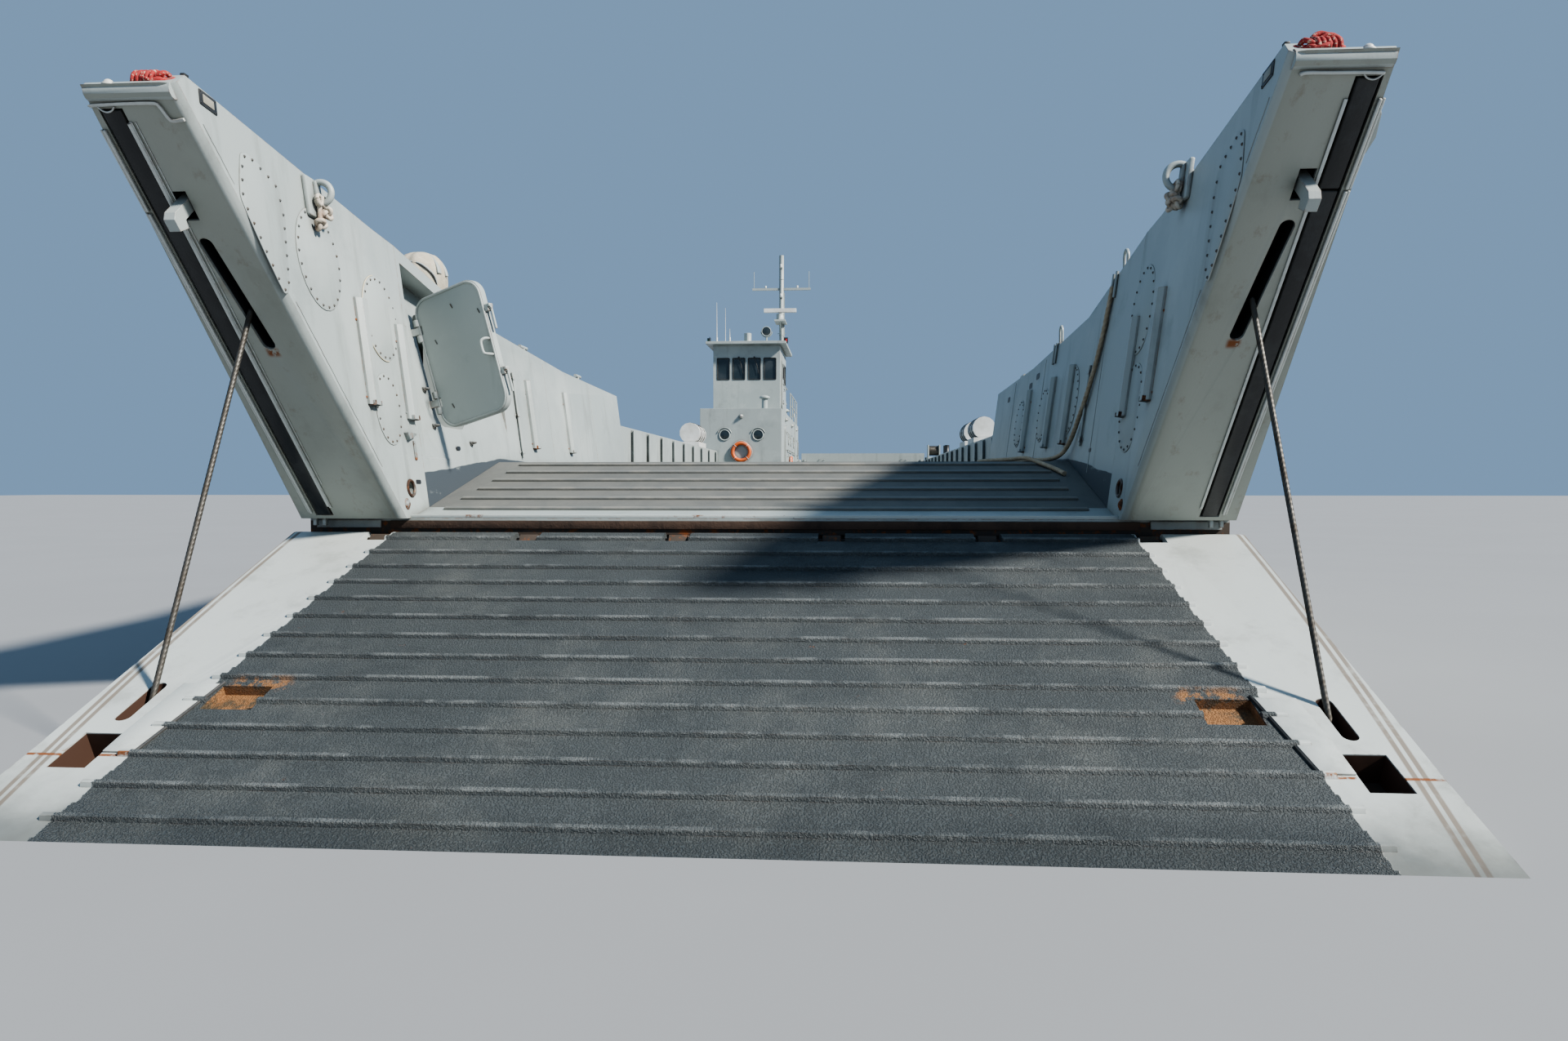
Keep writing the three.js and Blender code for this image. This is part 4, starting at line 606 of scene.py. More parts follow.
PLAIN = {  # name, tone, dusty tone, roughness, grain, depth
    "rubber": ("seal_rubber", (0.009, 0.011, 0.013), (0.032, 0.036, 0.038), 0.38, 150, 0.0006),
    "wire": ("wire_rope", (0.085, 0.08, 0.07), (0.05, 0.038, 0.026), 0.45, 300, 0.0004),
    "tan_rope": ("tan_rope", (0.40, 0.32, 0.22), (0.56, 0.48, 0.36), 0.9, 260, 0.001),
    "lashing": ("lashing_rope", (0.52, 0.48, 0.41), (0.24, 0.13, 0.075), 0.9, 260, 0.001, 0.2),
    "canvas": ("canvas", (0.42, 0.38, 0.30), (0.55, 0.51, 0.42), 0.9, 420, 0.0007),
    "bronze": ("bronze", (0.40, 0.24, 0.09), (0.16, 0.16, 0.09), 0.38, 90, 0.0005),
    "white": ("white_plastic", (0.66, 0.67, 0.65), (0.48, 0.48, 0.44), 0.35, 60, 0.0005),
    "black": ("black_paint", (0.02, 0.022, 0.024), (0.06, 0.06, 0.058), 0.42, 80, 0.0006),
    "shaft": ("shaft_steel", (0.42, 0.42, 0.41), (0.3, 0.28, 0.25), 0.3, 120, 0.0003),
    "glass": ("window_glass", (0.02, 0.03, 0.035), (0.05, 0.06, 0.065), 0.06, 40, 0.0001),
    "orange": ("buoy_orange", (0.62, 0.13, 0.03), (0.45, 0.13, 0.06), 0.5, 90, 0.0006),
    "red_glass": ("red_glass", (0.30, 0.012, 0.012), (0.2, 0.03, 0.03), 0.12, 60, 0.0002),
    "green_glass": ("green_glass", (0.012, 0.16, 0.06), (0.02, 0.12, 0.06), 0.12, 60, 0.0002),
    "signs": ("sign_face", (0.30, 0.29, 0.24), (0.2, 0.19, 0.15), 0.4, 80, 0.0003),
    "sealant": ("sealant", (0.60, 0.55, 0.42), (0.40, 0.36, 0.27), 0.5, 200, 0.0003),
    "tread": ("tread_bar", (0.17, 0.175, 0.165), (0.26, 0.25, 0.22), 0.6, 120, 0.0008),
    "bolts": ("bolt_heads", (0.085, 0.09, 0.088), (0.12, 0.075, 0.045), 0.6, 200, 0.0003),
    # Dark rust-brown for plates in recesses and under holes: rust, and painted shade.
    "recess": ("rusty_recess", (0.075, 0.045, 0.03), (0.03, 0.022, 0.018), 0.85, 90, 0.002),
}
GLOSS = {"wire": {"Metallic": 0.5}, "bronze": {"Metallic": 0.8}, "shaft": {"Metallic": 0.9},
         "glass": {"Specular_IOR_Level": 0.7}}
for finish, recipe in PLAIN.items():
    FINISHES[finish] = plain(*recipe, **GLOSS.get(finish, {}))


# %% Rust, red rope and small painted parts
def rusted(name, share, tone=HAZE_PALE):
    """Steel that rust has taken over from the paint, by share."""
    coat = Finish(name, tone, 0.5)
    coat.over(coat.spots(6, 7, 0.75, 0.62 - 0.3 * share, 0.72 - 0.3 * share), RUST, 0.85)
    coat.over(coat.spots(18, 6, 0.75, 0.68 - 0.25 * share, 0.76 - 0.25 * share), RUST_DARK, 0.9)
    coat.over(coat.spots(30, 6, 0.75, 0.6, 0.7, 0, 0.6 * share), RUST_BRIGHT, 0.9)
    coat.raise_by(coat.noise(70, 6, 0.7), 0.001)
    return coat.close()


FINISHES["sill"] = rusted("sill_bar", 0.25)
FINISHES["rust_plate"] = rusted("rusty_plate", 0.6, HAZE_DARK)
coat = Finish("worn_steel", (0.16, 0.15, 0.135), 0.5)
coat.over(coat.spots(12, 6, 0.7, 0.45, 0.62), RUST_DARK, 0.8)
coat.over(coat.spots(25, 6, 0.75, 0.55, 0.66, 0, 0.9), RUST, 0.85)
coat.over(coat.spots(8, 4, 0.6, 0.55, 0.66, 0, 0.7), HAZE_DARK, 0.5)
coat.over(coat.spots(60, 4, 0.7, 0.64, 0.7, 0, 0.7), RUST_BRIGHT, 0.9)
coat.raise_by(coat.noise(90, 5, 0.65), 0.0008)
FINISHES["steel"] = coat.close(Metallic=0.25)
coat = Finish("red_rope", (0.33, 0.035, 0.032), 0.85)
coat.over(coat.spots(30, 5, 0.7, 0.5, 0.62, 0, 0.8), (0.20, 0.02, 0.022))
coat.over(coat.spots(150, 3, 0.6, 0.56, 0.62, 0, 0.85), (0.50, 0.36, 0.27))
coat.raise_by(coat.noise(260, 4, 0.65), 0.001)
FINISHES["red_rope"] = coat.close()
for finish, *recipe in (("weld", HAZE, 0.5, 0.3), ("margin", MARGIN, 0.45, 0.4),
                        ("strips", (0.50, 0.53, 0.51), 0.36, 0.35)):
    FINISHES[finish] = paint(finish.rstrip("s") + "_paint", *recipe, 0.001).close()
coat = paint("hinge_block", rust=0.9)
sunk = coat.ramp(coat.along(BOW, 2), -0.012, -0.02)
# Below the sill's top the block is painted dark brown: rust, and painted shade in the hinge gap.
coat.over(sunk, (0.06, 0.045, 0.034), 0.8)
coat.over(coat.times(sunk, coat.spots(20, 6, 0.75, 0.52, 0.6)), RUST, 0.9)
FINISHES["hinge_block"] = coat.close()
print("finishes", len(FINISHES))

# %% [markdown]
# ## Finished pieces
# A new piece is a mesh in the model's metres, with its normals put right and its edges smoothed.
# A solid from the frame is dressed instead: a copy of it is welded, its flat faces are merged, and
# a bevel rounds the plates' edges, as rolled and ground steel has them.


# %% Put a piece in the scene
def piece(name, bm, finish, body="craft", smooth_to=40):
    bmesh.ops.remove_doubles(bm, verts=bm.verts, dist=1e-5)
    bmesh.ops.recalc_face_normals(bm, faces=bm.faces)
    return finished(name, bm, finish, body, smooth_to)


def finished(name, bm, finish, body="craft", smooth_to=40, bevel=0.0):
    mesh = bpy.data.meshes.new(name)
    bm.to_mesh(mesh)
    bm.free()
    mesh.materials.append(FINISHES[finish])
    mesh.shade_smooth()
    mesh.set_sharp_from_angle(angle=math.radians(smooth_to))
    made = bpy.data.objects.new(name, mesh)
    bpy.context.scene.collection.objects.link(made)
    if bevel:
        modifier = made.modifiers.new("edges", "BEVEL")
        modifier.width, modifier.segments = bevel, 2
        modifier.limit_method, modifier.angle_limit = "ANGLE", math.radians(30)
        modifier.harden_normals = True
    if body:
        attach(made, body)
    print(name, len(mesh.polygons), "faces")
    return made


BODY_OF = {node.name: node["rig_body"] for node in frame["nodes"].values()}


def dress(node, finish, bevel):
    """A rounded copy of a solid, which then stands for it."""
    bm = bmesh.new()
    bm.from_mesh(frame["nodes"][node].data)
    bmesh.ops.remove_doubles(bm, verts=bm.verts, dist=2e-5)
    bmesh.ops.dissolve_limit(bm, angle_limit=math.radians(0.8), verts=bm.verts, edges=bm.edges)
    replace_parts(finished(node + "_dressed", bm, finish, BODY_OF[node], 35, bevel), node)


# %% [markdown]
# ## Camera
# The photograph was taken from the water ahead of the bow, a little to port of the centre line and
# about level with the sill, with a wide lens. The place and angles were measured from the meeting
# edges of the ramp and the two horns.

# %% Camera at the photograph's view
CAMERA_AT = (12.603, 0.293, 1.186)
HEADING, PITCH = math.radians(3.81), math.radians(1.95)
sight = Vector((-math.cos(HEADING) * math.cos(PITCH), -math.sin(HEADING) * math.cos(PITCH), -math.sin(PITCH)))
camera = bpy.data.objects.new("camera", bpy.data.cameras.new("camera"))
camera.location = CAMERA_AT
camera.rotation_mode = "QUATERNION"
camera.rotation_quaternion = sight.to_track_quat("-Z", "Y")
camera.data.lens, camera.data.sensor_width = 23.08, 36
bpy.context.scene.collection.objects.link(camera)
bpy.context.scene.camera = camera
print("camera looks along", [round(x, 3) for x in sight])

# %% [markdown]
# ## The hawser
# A three-strand fibre rope hangs over the port wall through a bent-rod eye, and its slack lies in
# a bight on the deck. A curve with a bevel would be a plain tube. Here the section has three lobes
# and turns as it is drawn along, so the strands are real and catch the light.

# %% Hawser through the fore eye
HAWSER_RADIUS = 0.018
ON_DECK = 0.4215
HAWSER_ROUTE = (
    (-1.02, 2.412, 1.6), (-1.06, 2.39, 1.44), (-1.13, 2.37, 1.26), (-1.24, 2.345, 1.06),
    (-1.38, 2.322, 0.88), (-1.53, 2.3, 0.72), (-1.7, 2.276, 0.56), (-1.86, 2.243, 0.46),
    (-2.05, 2.19, ON_DECK), (-2.3, 2.14, ON_DECK), (-2.6, 2.12, ON_DECK), (-2.88, 2.1, ON_DECK),
    (-3.07, 2.02, ON_DECK), (-3.13, 1.9, ON_DECK), (-3.05, 1.78, ON_DECK), (-2.86, 1.72, ON_DECK),
    (-2.6, 1.74, ON_DECK), (-2.35, 1.8, ON_DECK), (-2.12, 1.88, ON_DECK), (-1.9, 1.97, 0.4245),
    (-1.7, 2.05, 0.3815), (-1.5, 2.11, 0.3385), (-1.3, 2.15, 0.2965),
)
route = smooth(HAWSER_ROUTE)
rope_line = even(route, 0.008)
bm = bmesh.new()
draw(bm, BOW, rope_line, HAWSER_RADIUS, 12, 0, 3, 0.13 * MODEL_SCALE)
hawser = piece("hawser_rope", bm, "tan_rope", smooth_to=80)
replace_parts(hawser, "hawser")

# %% [markdown]
# ## The ramp's wire ropes
# Each rope runs from a slot in the horn's face to a pin in the ramp and holds it when it is down.
# It is six strands laid round a core. When the ramp lifts, the rope is hauled in.

# %% Ramp ropes
for name, side in SIDES:
    head = FACE @ Vector((side * 2.53, 1.515, -0.03))
    foot = RAMP_AXIS @ Vector((1.93, side * 2.613, -0.07))
    bm = bmesh.new()
    sweep(bm, even([head, foot], 0.004), 0.014, 18, 6, 0.075)
    rope = piece(f"ramp_rope_{name}_laid", bm, "wire", None, 80)
    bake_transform(rope)
    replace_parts(rope, f"ramp_rope_{name}")

# %% [markdown]
# ## Plates and forms
# The big solids already have their real shapes, so they only need their edges rounded and their
# paint. They come from one table: the finish and how round the edges are, then the nodes.

# %% Dress the solids
DRESSED = (
    ("hull", 0.004, "hull"), ("hinge_block", 0.002, "bow_sill"), ("horn", 0.0015, "horn_*"),
    ("walls", 0.003, "bow_side_*"), ("ramp", 0.0015, "ramp"), ("haze", 0.0015, "bow_door"),
    ("haze_worn", 0.0015, "ramp_dog_*"), ("haze_worn", 0, "wall_hoop_fore wall_hoop_aft"),
    ("haze", 0.004, "wing_wall_* quarter_block"), ("haze_worn", 0.003, "stern_gate"),
    ("steel", 0, "gate_hinge"), ("haze", 0.004, "deckhouse"),
    ("haze", 0.002, "deckhouse_door_fore deckhouse_door_aft"), ("haze", 0, "deckhouse_rail"),
    ("haze", 0.002, "pilothouse"), ("haze", 0.003, "pilothouse_roof"),
    ("haze", 0.002, "pilothouse_door_*"), ("haze", 0.001, "mast_tabernacle"), ("haze", 0, "mast"),
    ("white", 0.002, "radar_scanner"), ("haze", 0, "exhaust_stack"), ("bronze", 0, "propeller_*"),
    ("shaft", 0, "propeller_shaft_*"), ("black", 0.001, "shaft_strut_*"), ("black", 0, "nozzle_*"),
    ("black", 0.002, "rudder_*"), ("black", 0.003, "skeg"),
    ("white", 0, "raft_canister_fore raft_canister_aft raft_canister_starboard"),
    ("haze", 0.001, "anchor_winch"), ("black", 0.001, "anchor"),
    ("black", 0, "bitts_port_fore bitts_port_aft bitts_starboard_fore"),
)
for finish, bevel, nodes in DRESSED:
    for node in nodes.split():
        for name, side in SIDES if "*" in node else SIDES[:1]:
            dress(node.replace("*", name), finish, bevel)
print("dressed", len(BODY_OF), "solids, less those that have a maker of their own")

# %% [markdown]
# ## Bolted covers on the passage walls
# The hollow walls have access covers, each an oval plate held by a ring of bolts. One table gives
# where each one is; the two by the horns' faces are cut slanted to follow the face.

# %% Covers
SLANTED = (  # ahead, up
    (1.50, 1.81), (1.42, 1.83), (1.17, 1.76), (1.13, 1.60), (1.19, 1.20), (1.25, 1.17), (1.40, 1.36),
    (1.56, 1.58),
)
SLANTED_AT = (1.28, 1.52)
COVERS = (  # side, ahead, up, width, height
    (-1, 0.80, 1.45, 0.50, 0.56), (-1, 0.05, 1.25, 0.50, 0.53), (-1, 0.12, 0.68, 0.38, 0.45),
    (1, -0.12, 1.28, 0.46, 0.55), (1, -0.07, 0.68, 0.46, 0.55), (1, -2.12, 0.90, 0.5, 0.56),
    (1, -3.3, 0.86, 0.46, 0.5), (1, -4.6, 0.86, 0.46, 0.5),
)


def inset(outline, by):
    middle = sum((Vector(p) for p in outline), Vector((0, 0))) / len(outline)
    return [middle + (Vector(p) - middle) * (1 - by / (Vector(p) - middle).length) for p in outline]


def rounded_outline(corners):
    """Cuts each corner twice, which leaves it round."""
    for cut in (0.12, 0.25):
        pairs = list(zip(corners, corners[1:] + corners[:1]))
        corners = [Vector(a).lerp(Vector(b), t) for a, b in pairs for t in (cut, 1 - cut)]
    return corners


def cover(name, outline, at):
    bm = bmesh.new()
    slab(bm, outline, 0.005, at, 0.0015)
    piece(name, bm, "weld", smooth_to=30)
    bm = bmesh.new()
    ring = [Vector((*p, 0)) for p in inset(outline, 0.018)]
    bolts(bm, [p.xy for p in even([*ring, ring[0]], 0.072)[:-1]], 0.0085, at @ move(0, 0, 0.005))
    piece(f"{name}_bolts", bm, "bolts", smooth_to=30)


for i, (side, x, z, width, height) in enumerate(COVERS):
    cover(f"wall_cover_{i}", arc(width / 2, height / 2, 0, math.tau, 28)[:-1], wall(side, x, z))
for name, side in SIDES:
    outline = [(x - SLANTED_AT[0], z - SLANTED_AT[1]) for x, z in SLANTED]
    cover(f"horn_cover_{name}", rounded_outline(outline), wall(side, *SLANTED_AT))

# %% [markdown]
# ## The horns' faces
# When the ramp is up it closes against the horns' raked faces. A fat rubber body lies in a recess
# along each outer edge, between flat bright strips. A flat bar runs under the half-round lip at
# the top; on the starboard horn it turns down in an S at its inner end. Nothing stands more than
# 19 mm off the face, so that the ramp can shut.


# %% Seal bodies, strips and lip bars
def strip(bm, points, width, thick):
    """A flat bar along points of the horns' face, with its corners rounded."""
    line = smooth([(x, y, 0) for x, y in points], 4)
    rows = []
    for i, p in enumerate(line):
        ahead = (line[min(i + 1, len(line) - 1)] - line[max(i - 1, 0)]).normalized()
        across = Vector((-ahead.y, ahead.x, 0)) * width / 2
        rows.append((p + across, p - across))
    outline = [(a.x, a.y) for a, b in rows] + [(b.x, b.y) for a, b in reversed(rows)]
    slab(bm, outline, thick, FACE, min(width, thick) * 0.3)


LIP_BARS = {
    -1: ((2.774, 2.603), (2.755, 2.610), (2.603, 2.614), (2.478, 2.613), (2.455, 2.598), (2.440, 2.545),
         (2.424, 2.531), (2.372, 2.536)),
    1: ((2.74, 2.606), (2.66, 2.610), (2.53, 2.612), (2.43, 2.614), (2.405, 2.606)),
}
LOOSE = (  # across, up the face, off it
    (2.735, 2.603, 0.010), (2.72, 2.588, 0.013), (2.70, 2.581, 0.014), (2.675, 2.588, 0.013),
    (2.66, 2.603, 0.010),
)
for name, side in SIDES:
    port = side > 0
    bm = bmesh.new()
    for start, end in ((0.04, 2.09), (2.10, 2.585)) if port else ((0.04, 2.585),):
        at = FACE @ move(side * 2.688, (start + end) / 2, -0.028)
        slab(bm, box_round(0.088, end - start, 0.006), 0.036, at, 0.016)
    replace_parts(piece(f"seal_body_{name}", bm, "rubber", smooth_to=60), f"ramp_seal_{name}")

    bm = bmesh.new()
    for start, end in ((0.06, 2.09), (2.1, 2.50)):
        for y, width, thick in ((2.762, 0.014, 0.018), (2.778, 0.012, 0.010)):
            strip(bm, [(side * y, start), (side * y, end)], width, thick)
    strip(bm, [(side * 2.626, 0.1), (side * 2.626, 2.50 if port else 2.53)], 0.016, 0.008)
    if not port:
        bar(bm, FACE, (-2.632, 0.12, 0.005), (-2.632, 2.525, 0.005), 0.011, 12)
        strip(bm, [(-2.606, 0.3), (-2.604, 2.53)], 0.005, 0.004)
    strip(bm, [(side * y, s) for y, s in LIP_BARS[side]], 0.014, 0.018 if port else 0.011)
    piece(f"seal_strips_{name}", bm, "strips", smooth_to=50)
    bm = bmesh.new()
    draw(bm, FACE, [(side * y, s, out) for y, s, out in LOOSE], 0.004, 8, 8)
    piece(f"loose_strip_{name}", bm, "strips", smooth_to=60)

bm = bmesh.new()
wedge = [(2.20, 2.776), (2.25, 2.804), (2.32, 2.821), (2.42, 2.808), (2.48, 2.776)]
slab(bm, wedge, 0.05, FACE @ Matrix(((0, 1, 0, 0), (1, 0, 0, 0), (0, 0, 1, -0.07), (0, 0, 0, 1))), 0.006)
piece("side_chock_port", bm, "haze")

# %% [markdown]
# ## Horn tops
# Coils of red line are stowed on top of each horn beside a small white lamp dome. A stowed line
# makes loops that cross and droop, so it's drawn along a path that winds round and rises where it
# crosses itself.


# %% Stowed lines, domes and plates
def stowed(bm, at, radius, upright):
    """A line coiled into a low untidy heap, with a hitch of close turns round it and end loops."""
    heap, hitch = [], []
    for i in range(64):
        a = math.tau * 4.6 * i / 63
        wide, deep = 0.078 + 0.014 * math.sin(1.7 * a), 0.036 + 0.010 * math.cos(2.3 * a)
        heap.append((wide * math.cos(a) + 0.012 * math.sin(0.6 * a), deep * math.sin(a),
                     radius * (1.1 + 4.2 * i / 63 + 0.9 * math.sin(2.6 * a))))
    draw(bm, at, heap, radius, 9, 4, 3, 0.05)
    for i, (y, z) in enumerate(arc(0.043, 0.038, 0, math.tau * 5, 55)):
        hitch.append((0.030 - 0.021 * i / 11, y, 0.036 + z))
    draw(bm, at, hitch, radius * 0.9, 9, 3, 3, 0.05)
    for lean, tall in ((0.3, upright), (-0.5, upright * 0.6)):
        loop = [(-0.05, 0, 2), (-0.075, 0.01, 4), (-0.06, 0.02 * lean, 4 + tall),
                (-0.02, 0.03 * lean, 5 + tall * 1.2),
                (0.015, 0.02 * lean, 4 + tall), (0.01, 0, 4), (0.0, -0.01, 2)]
        draw(bm, at, [(x + 0.03 * lean, y, z * radius) for x, y, z in loop], radius, 9, 6, 3, 0.05)


for name, side in SIDES:
    bm = bmesh.new()
    horn_top = BOW @ move(1.90, side * 2.49, HORN_TOP_Z)
    stowed(bm, horn_top @ turn(90, "Z") @ stretch(-side, 1, 1), 0.0115, 3.2 if side > 0 else 0.8)
    piece(f"stowed_line_{name}", bm, "red_rope", smooth_to=70)
    bm = bmesh.new()
    lamp = BOW @ move(1.95, side * 2.66, HORN_TOP_Z)
    disc(bm, 0.028, 0.012, lamp, 24, 0.004)
    dome(bm, 0.021, lamp @ move(0, 0, 0.012) @ stretch(1, 1, 0.9), 24, 12)
    piece(f"horn_lamp_{name}", bm, "white", smooth_to=50)
    bm = bmesh.new()
    block(bm, (0.032, 0.022, 0.012), BOW @ move(1.86, side * 2.375, 2.028), 0.003)
    piece(f"top_stop_{name}", bm, "black")
    bm = bmesh.new()
    sign = wall(side, 1.72, 1.962) @ turn(4, "Z")
    slab(bm, box_round(0.135, 0.072, 0.006), 0.004, sign, 0.0012)
    bolts(bm, [(x, z) for x in (-0.058, 0.058) for z in (-0.027, 0.027)], 0.004, sign @ move(0, 0, 0.004))
    piece(f"sign_frame_{name}", bm, "black")
    bm = bmesh.new()
    slab(bm, box_round(0.085, 0.040, 0.004), 0.002, sign @ move(0, 0, 0.004), 0.0008)
    piece(f"sign_plate_{name}", bm, "signs")

# %% [markdown]
# ## Lashing rings
# Near the top of each wall a thick ring stands off a doubler plate, and short lashings hang from
# it in knots. The ring is spun, the plate is a rounded slab, and each knot is a rope along the
# line of a trefoil, which is the simplest knot that closes on itself.


# %% Rings, lashings and knots
def knot(bm, at, size, radius):
    line = []
    for i in range(37):
        t = math.tau * i / 36
        line.append((size / 5 * (math.sin(t) + 2 * math.sin(2 * t)),
                     size / 5 * (math.cos(t) - 2 * math.cos(2 * t)), -size / 4 * math.sin(3 * t)))
    draw(bm, at, line, radius, 12, 3, 3, 0.04)


LASHED = (  # side, ahead, up, ring radius, bar radius, hanging ends (along, drop)
    (-1, 0.775, 1.815, 0.060, 0.018, ((0.035, 0.13), (-0.02, 0.06))),
    (1, 0.53, 1.885, 0.068, 0.019, ((0.02, 0.085), (-0.025, 0.09), (0.0, 0.06))),
)
for side, x, z, radius, thick, ends in LASHED:
    at = wall(side, x, z)
    bm = bmesh.new()
    slab(bm, box_round(0.15, 0.22, 0.012), 0.026, at @ move(0.03, -0.03), 0.008)
    slab(bm, box_round(0.06, 0.13, 0.012), 0.018, at @ move(0, 0, 0.026), 0.004)
    piece(f"ring_plate_{SIDE_NAMES[side]}", bm, "haze_worn")
    bm = bmesh.new()
    hoop(bm, radius, thick, at @ move(0, 0, 0.05) @ turn(90, "Y"), 32, 12)
    piece(f"lashing_ring_{SIDE_NAMES[side]}", bm, "haze_worn", smooth_to=60)
    bm = bmesh.new()
    for i, (along, drop) in enumerate(ends):
        out, top = 0.045 + 0.014 * i, 0.01 - radius
        for turns in (-0.7, 0.7):
            coil = [(u, v, 0.012 * turns) for u, v in arc(0.026, 0.026, 0, math.tau, 12)]
            draw(bm, at @ move(along + 0.012 * turns, top, 0.05), coil, 0.011, 12, 2, 3, 0.04)
        hang = [(along, top + 0.015, out), (along * 0.8, top - drop * 0.4, out),
                (along * 1.1, top - drop, out - 0.005)]
        draw(bm, at, hang, 0.014, 12, 8, 3, 0.04)
        knot(bm, at @ move(along * 1.1, top - drop, out) @ turn(50 * i, "Z") @ turn(40, "X"), 0.055, 0.013)
    piece(f"lashing_{SIDE_NAMES[side]}", bm, "lashing", smooth_to=70)

# %% [markdown]
# ## The bow sill and the hinge
# The incline of the deck ends in a square bar, worn bright and rusty by vehicles. Below it lies a
# recess where the ramp's hinge turns, drawn dark as rust and painted shade. Small square lugs stand at the
# horns' feet.
# They are bars and blocks, so each is a rounded cube or slab at its own place.

# %% Sill bars, lugs and fairlead rings
bm = bmesh.new()
block(bm, (0.05, 4.72, 0.022), BOW @ move(-0.026, 0, 0.012), 0.003)
piece("sill_bar", bm, "sill")
bm = bmesh.new()
incline = BOW @ Matrix.Rotation(math.atan(INCLINE_RISE / INCLINE_RUN), 4, "Y")
for i in range(6):
    block(bm, (0.05, 4.16, 0.026), incline @ move(-0.25 - 0.308 * i, 0, 0.004), 0.008)
piece("incline_treads", bm, "tread")
# Rust and painted shade: a dark plate stands in the hinge gap.
bm = bmesh.new()
block(bm, (0.012, 4.66, 0.05), BOW @ move(0.006, 0, -0.04), 0.002)
piece("sill_recess", bm, "recess")
for name, side in SIDES:
    bm = bmesh.new()
    for size, x, y, z in (((0.03, 0.022, 0.046), 0.08, 2.72, -0.021),
                          ((0.03, 0.022, 0.046), 0.08, 2.78, -0.021),
                          ((0.014, 0.42, 0.05), 0.008, 2.60, -0.035)):
        block(bm, size, BOW @ move(x, side * y, z), 0.003)
    piece(f"hinge_lugs_{name}", bm, "haze_worn")
    fairlead = wall(side, -0.06, 0.19)
    bm = bmesh.new()
    hoop(bm, 0.05, 0.010, fairlead @ move(0, 0, 0.002), 28, 8)
    piece(f"fairlead_ring_{name}", bm, "steel", smooth_to=60)
    bm = bmesh.new()
    dome(bm, 0.03, fairlead @ move(0.09, -0.10) @ stretch(1, 1, 0.7))
    disc(bm, 0.036, 0.008, fairlead @ move(0.09, -0.10), 20, 0.004)
    piece(f"fairlead_boss_{name}", bm, "rust_plate", smooth_to=50)

# %% [markdown]
# ## The ramp's fittings
# Dark trays under the rope slots and the dogs' holes close them from below: painted shade of the
# holes' insides, in a rust colour. A raised doubler plate lies on each margin between the pocket and
# the seam; its dark edge shows in the photograph, drawn as a black bead of painted shadow. These are
# flat plates, so each is an outline extruded and rounded, in the ramp's own frame.

# %% Trays, doublers and edge rails
DOUBLER = [(1.76, 2.325), (2.285, 2.392), (2.285, 2.52), (2.14, 2.52), (1.76, 2.50)]
for name, side in SIDES:
    # Painted shade, with rust: dark trays under the rope slot and the dog's hole stand for the dark inside of
    # the holes.
    bm = bmesh.new()
    slab(bm, box_round(0.40, 0.13, 0.02), 0.012, RAMP @ move(1.9, side * 2.613, -0.172))
    slab(bm, box_round(0.30, 0.22, 0.02), 0.008, RAMP @ move(2.267, side * 2.61, -0.144))
    piece(f"ramp_trays_{name}", bm, "recess", "ramp")
    bm = bmesh.new()
    slab(bm, [(s, side * y) for s, y in DOUBLER], 0.010, RAMP, 0.002)
    piece(f"ramp_doubler_{name}", bm, "margin", "ramp")
    bm = bmesh.new()
    edge = [(s, side * (2.318 + 0.128 * (s - 1.76)), 0.004) for s in (1.74, 1.9, 2.1, 2.29)]
    draw(bm, RAMP, edge, 0.007, 6)
    piece(f"doubler_shadow_gap_{name}", bm, "black", "ramp")

# %% [markdown]
# ## Wall fittings
# Slanted guards cover the pipes that run down the walls; each ends in an open mouth, rusty where
# water drips, with a black block of painted shade inside. Light conduits, a rusty bracket, drain slots
# drawn as black plates of painted shade, and cleats on the wall's edge finish the passage. They
# come from short tables of places.

# %% Guard mouths, conduits, brackets and slots
MOUTHS = (
    (1, 0.36, 0.69), (1, -0.2, 0.64), (-1, 0.36, 0.69), (-1, -0.2, 0.64),
    (1, -2.15, 0.55), (1, -2.9, 0.55), (1, -4.1, 0.55), (-1, -2.9, 0.55), (-1, -4.1, 0.55),
)
# Painted shade: a black block in each guard's open mouth stands for the dark inside.
mouth_shade, lips = bmesh.new(), bmesh.new()
for side, x, z in MOUTHS:
    block(mouth_shade, (0.062, 0.012, 0.028), wall(side, x, z - 0.003) @ move(0, 0, 0.018))
    for dx in (-0.04, 0.04):
        block(lips, (0.008, 0.03, 0.048), wall(side, x, z + 0.005) @ move(dx, 0, 0.024), 0.002)
    bolts(lips, ((0.06, 0.04), (-0.06, 0.04), (0.06, 0.5), (-0.06, 0.5)), 0.009, wall(side, x, z))
piece("guard_mouth_shade", mouth_shade, "black")
piece("guard_lips", lips, "rust_plate")

bm = bmesh.new()
for side, x, z0, z1 in ((-1, -2.5, 0.45, 1.2), (1, -1.45, 0.5, 1.1)):
    middle = (z0 + z1) / 2
    draw(bm, Matrix(), [wall(side, x, z) @ Vector((0, 0, 0.014)) for z in (z0, middle, z1)], 0.010, 10, 5)
    for z in (z0 + 0.05, middle, z1 - 0.05):
        slab(bm, box_round(0.06, 0.03, 0.006), 0.004, wall(side, x, z) @ move(0, 0, 0.022), 0.001)
        slab(bm, box_round(0.08, 0.022, 0.004), 0.004, wall(side, x, z), 0.001)
piece("wall_conduits", bm, "haze")

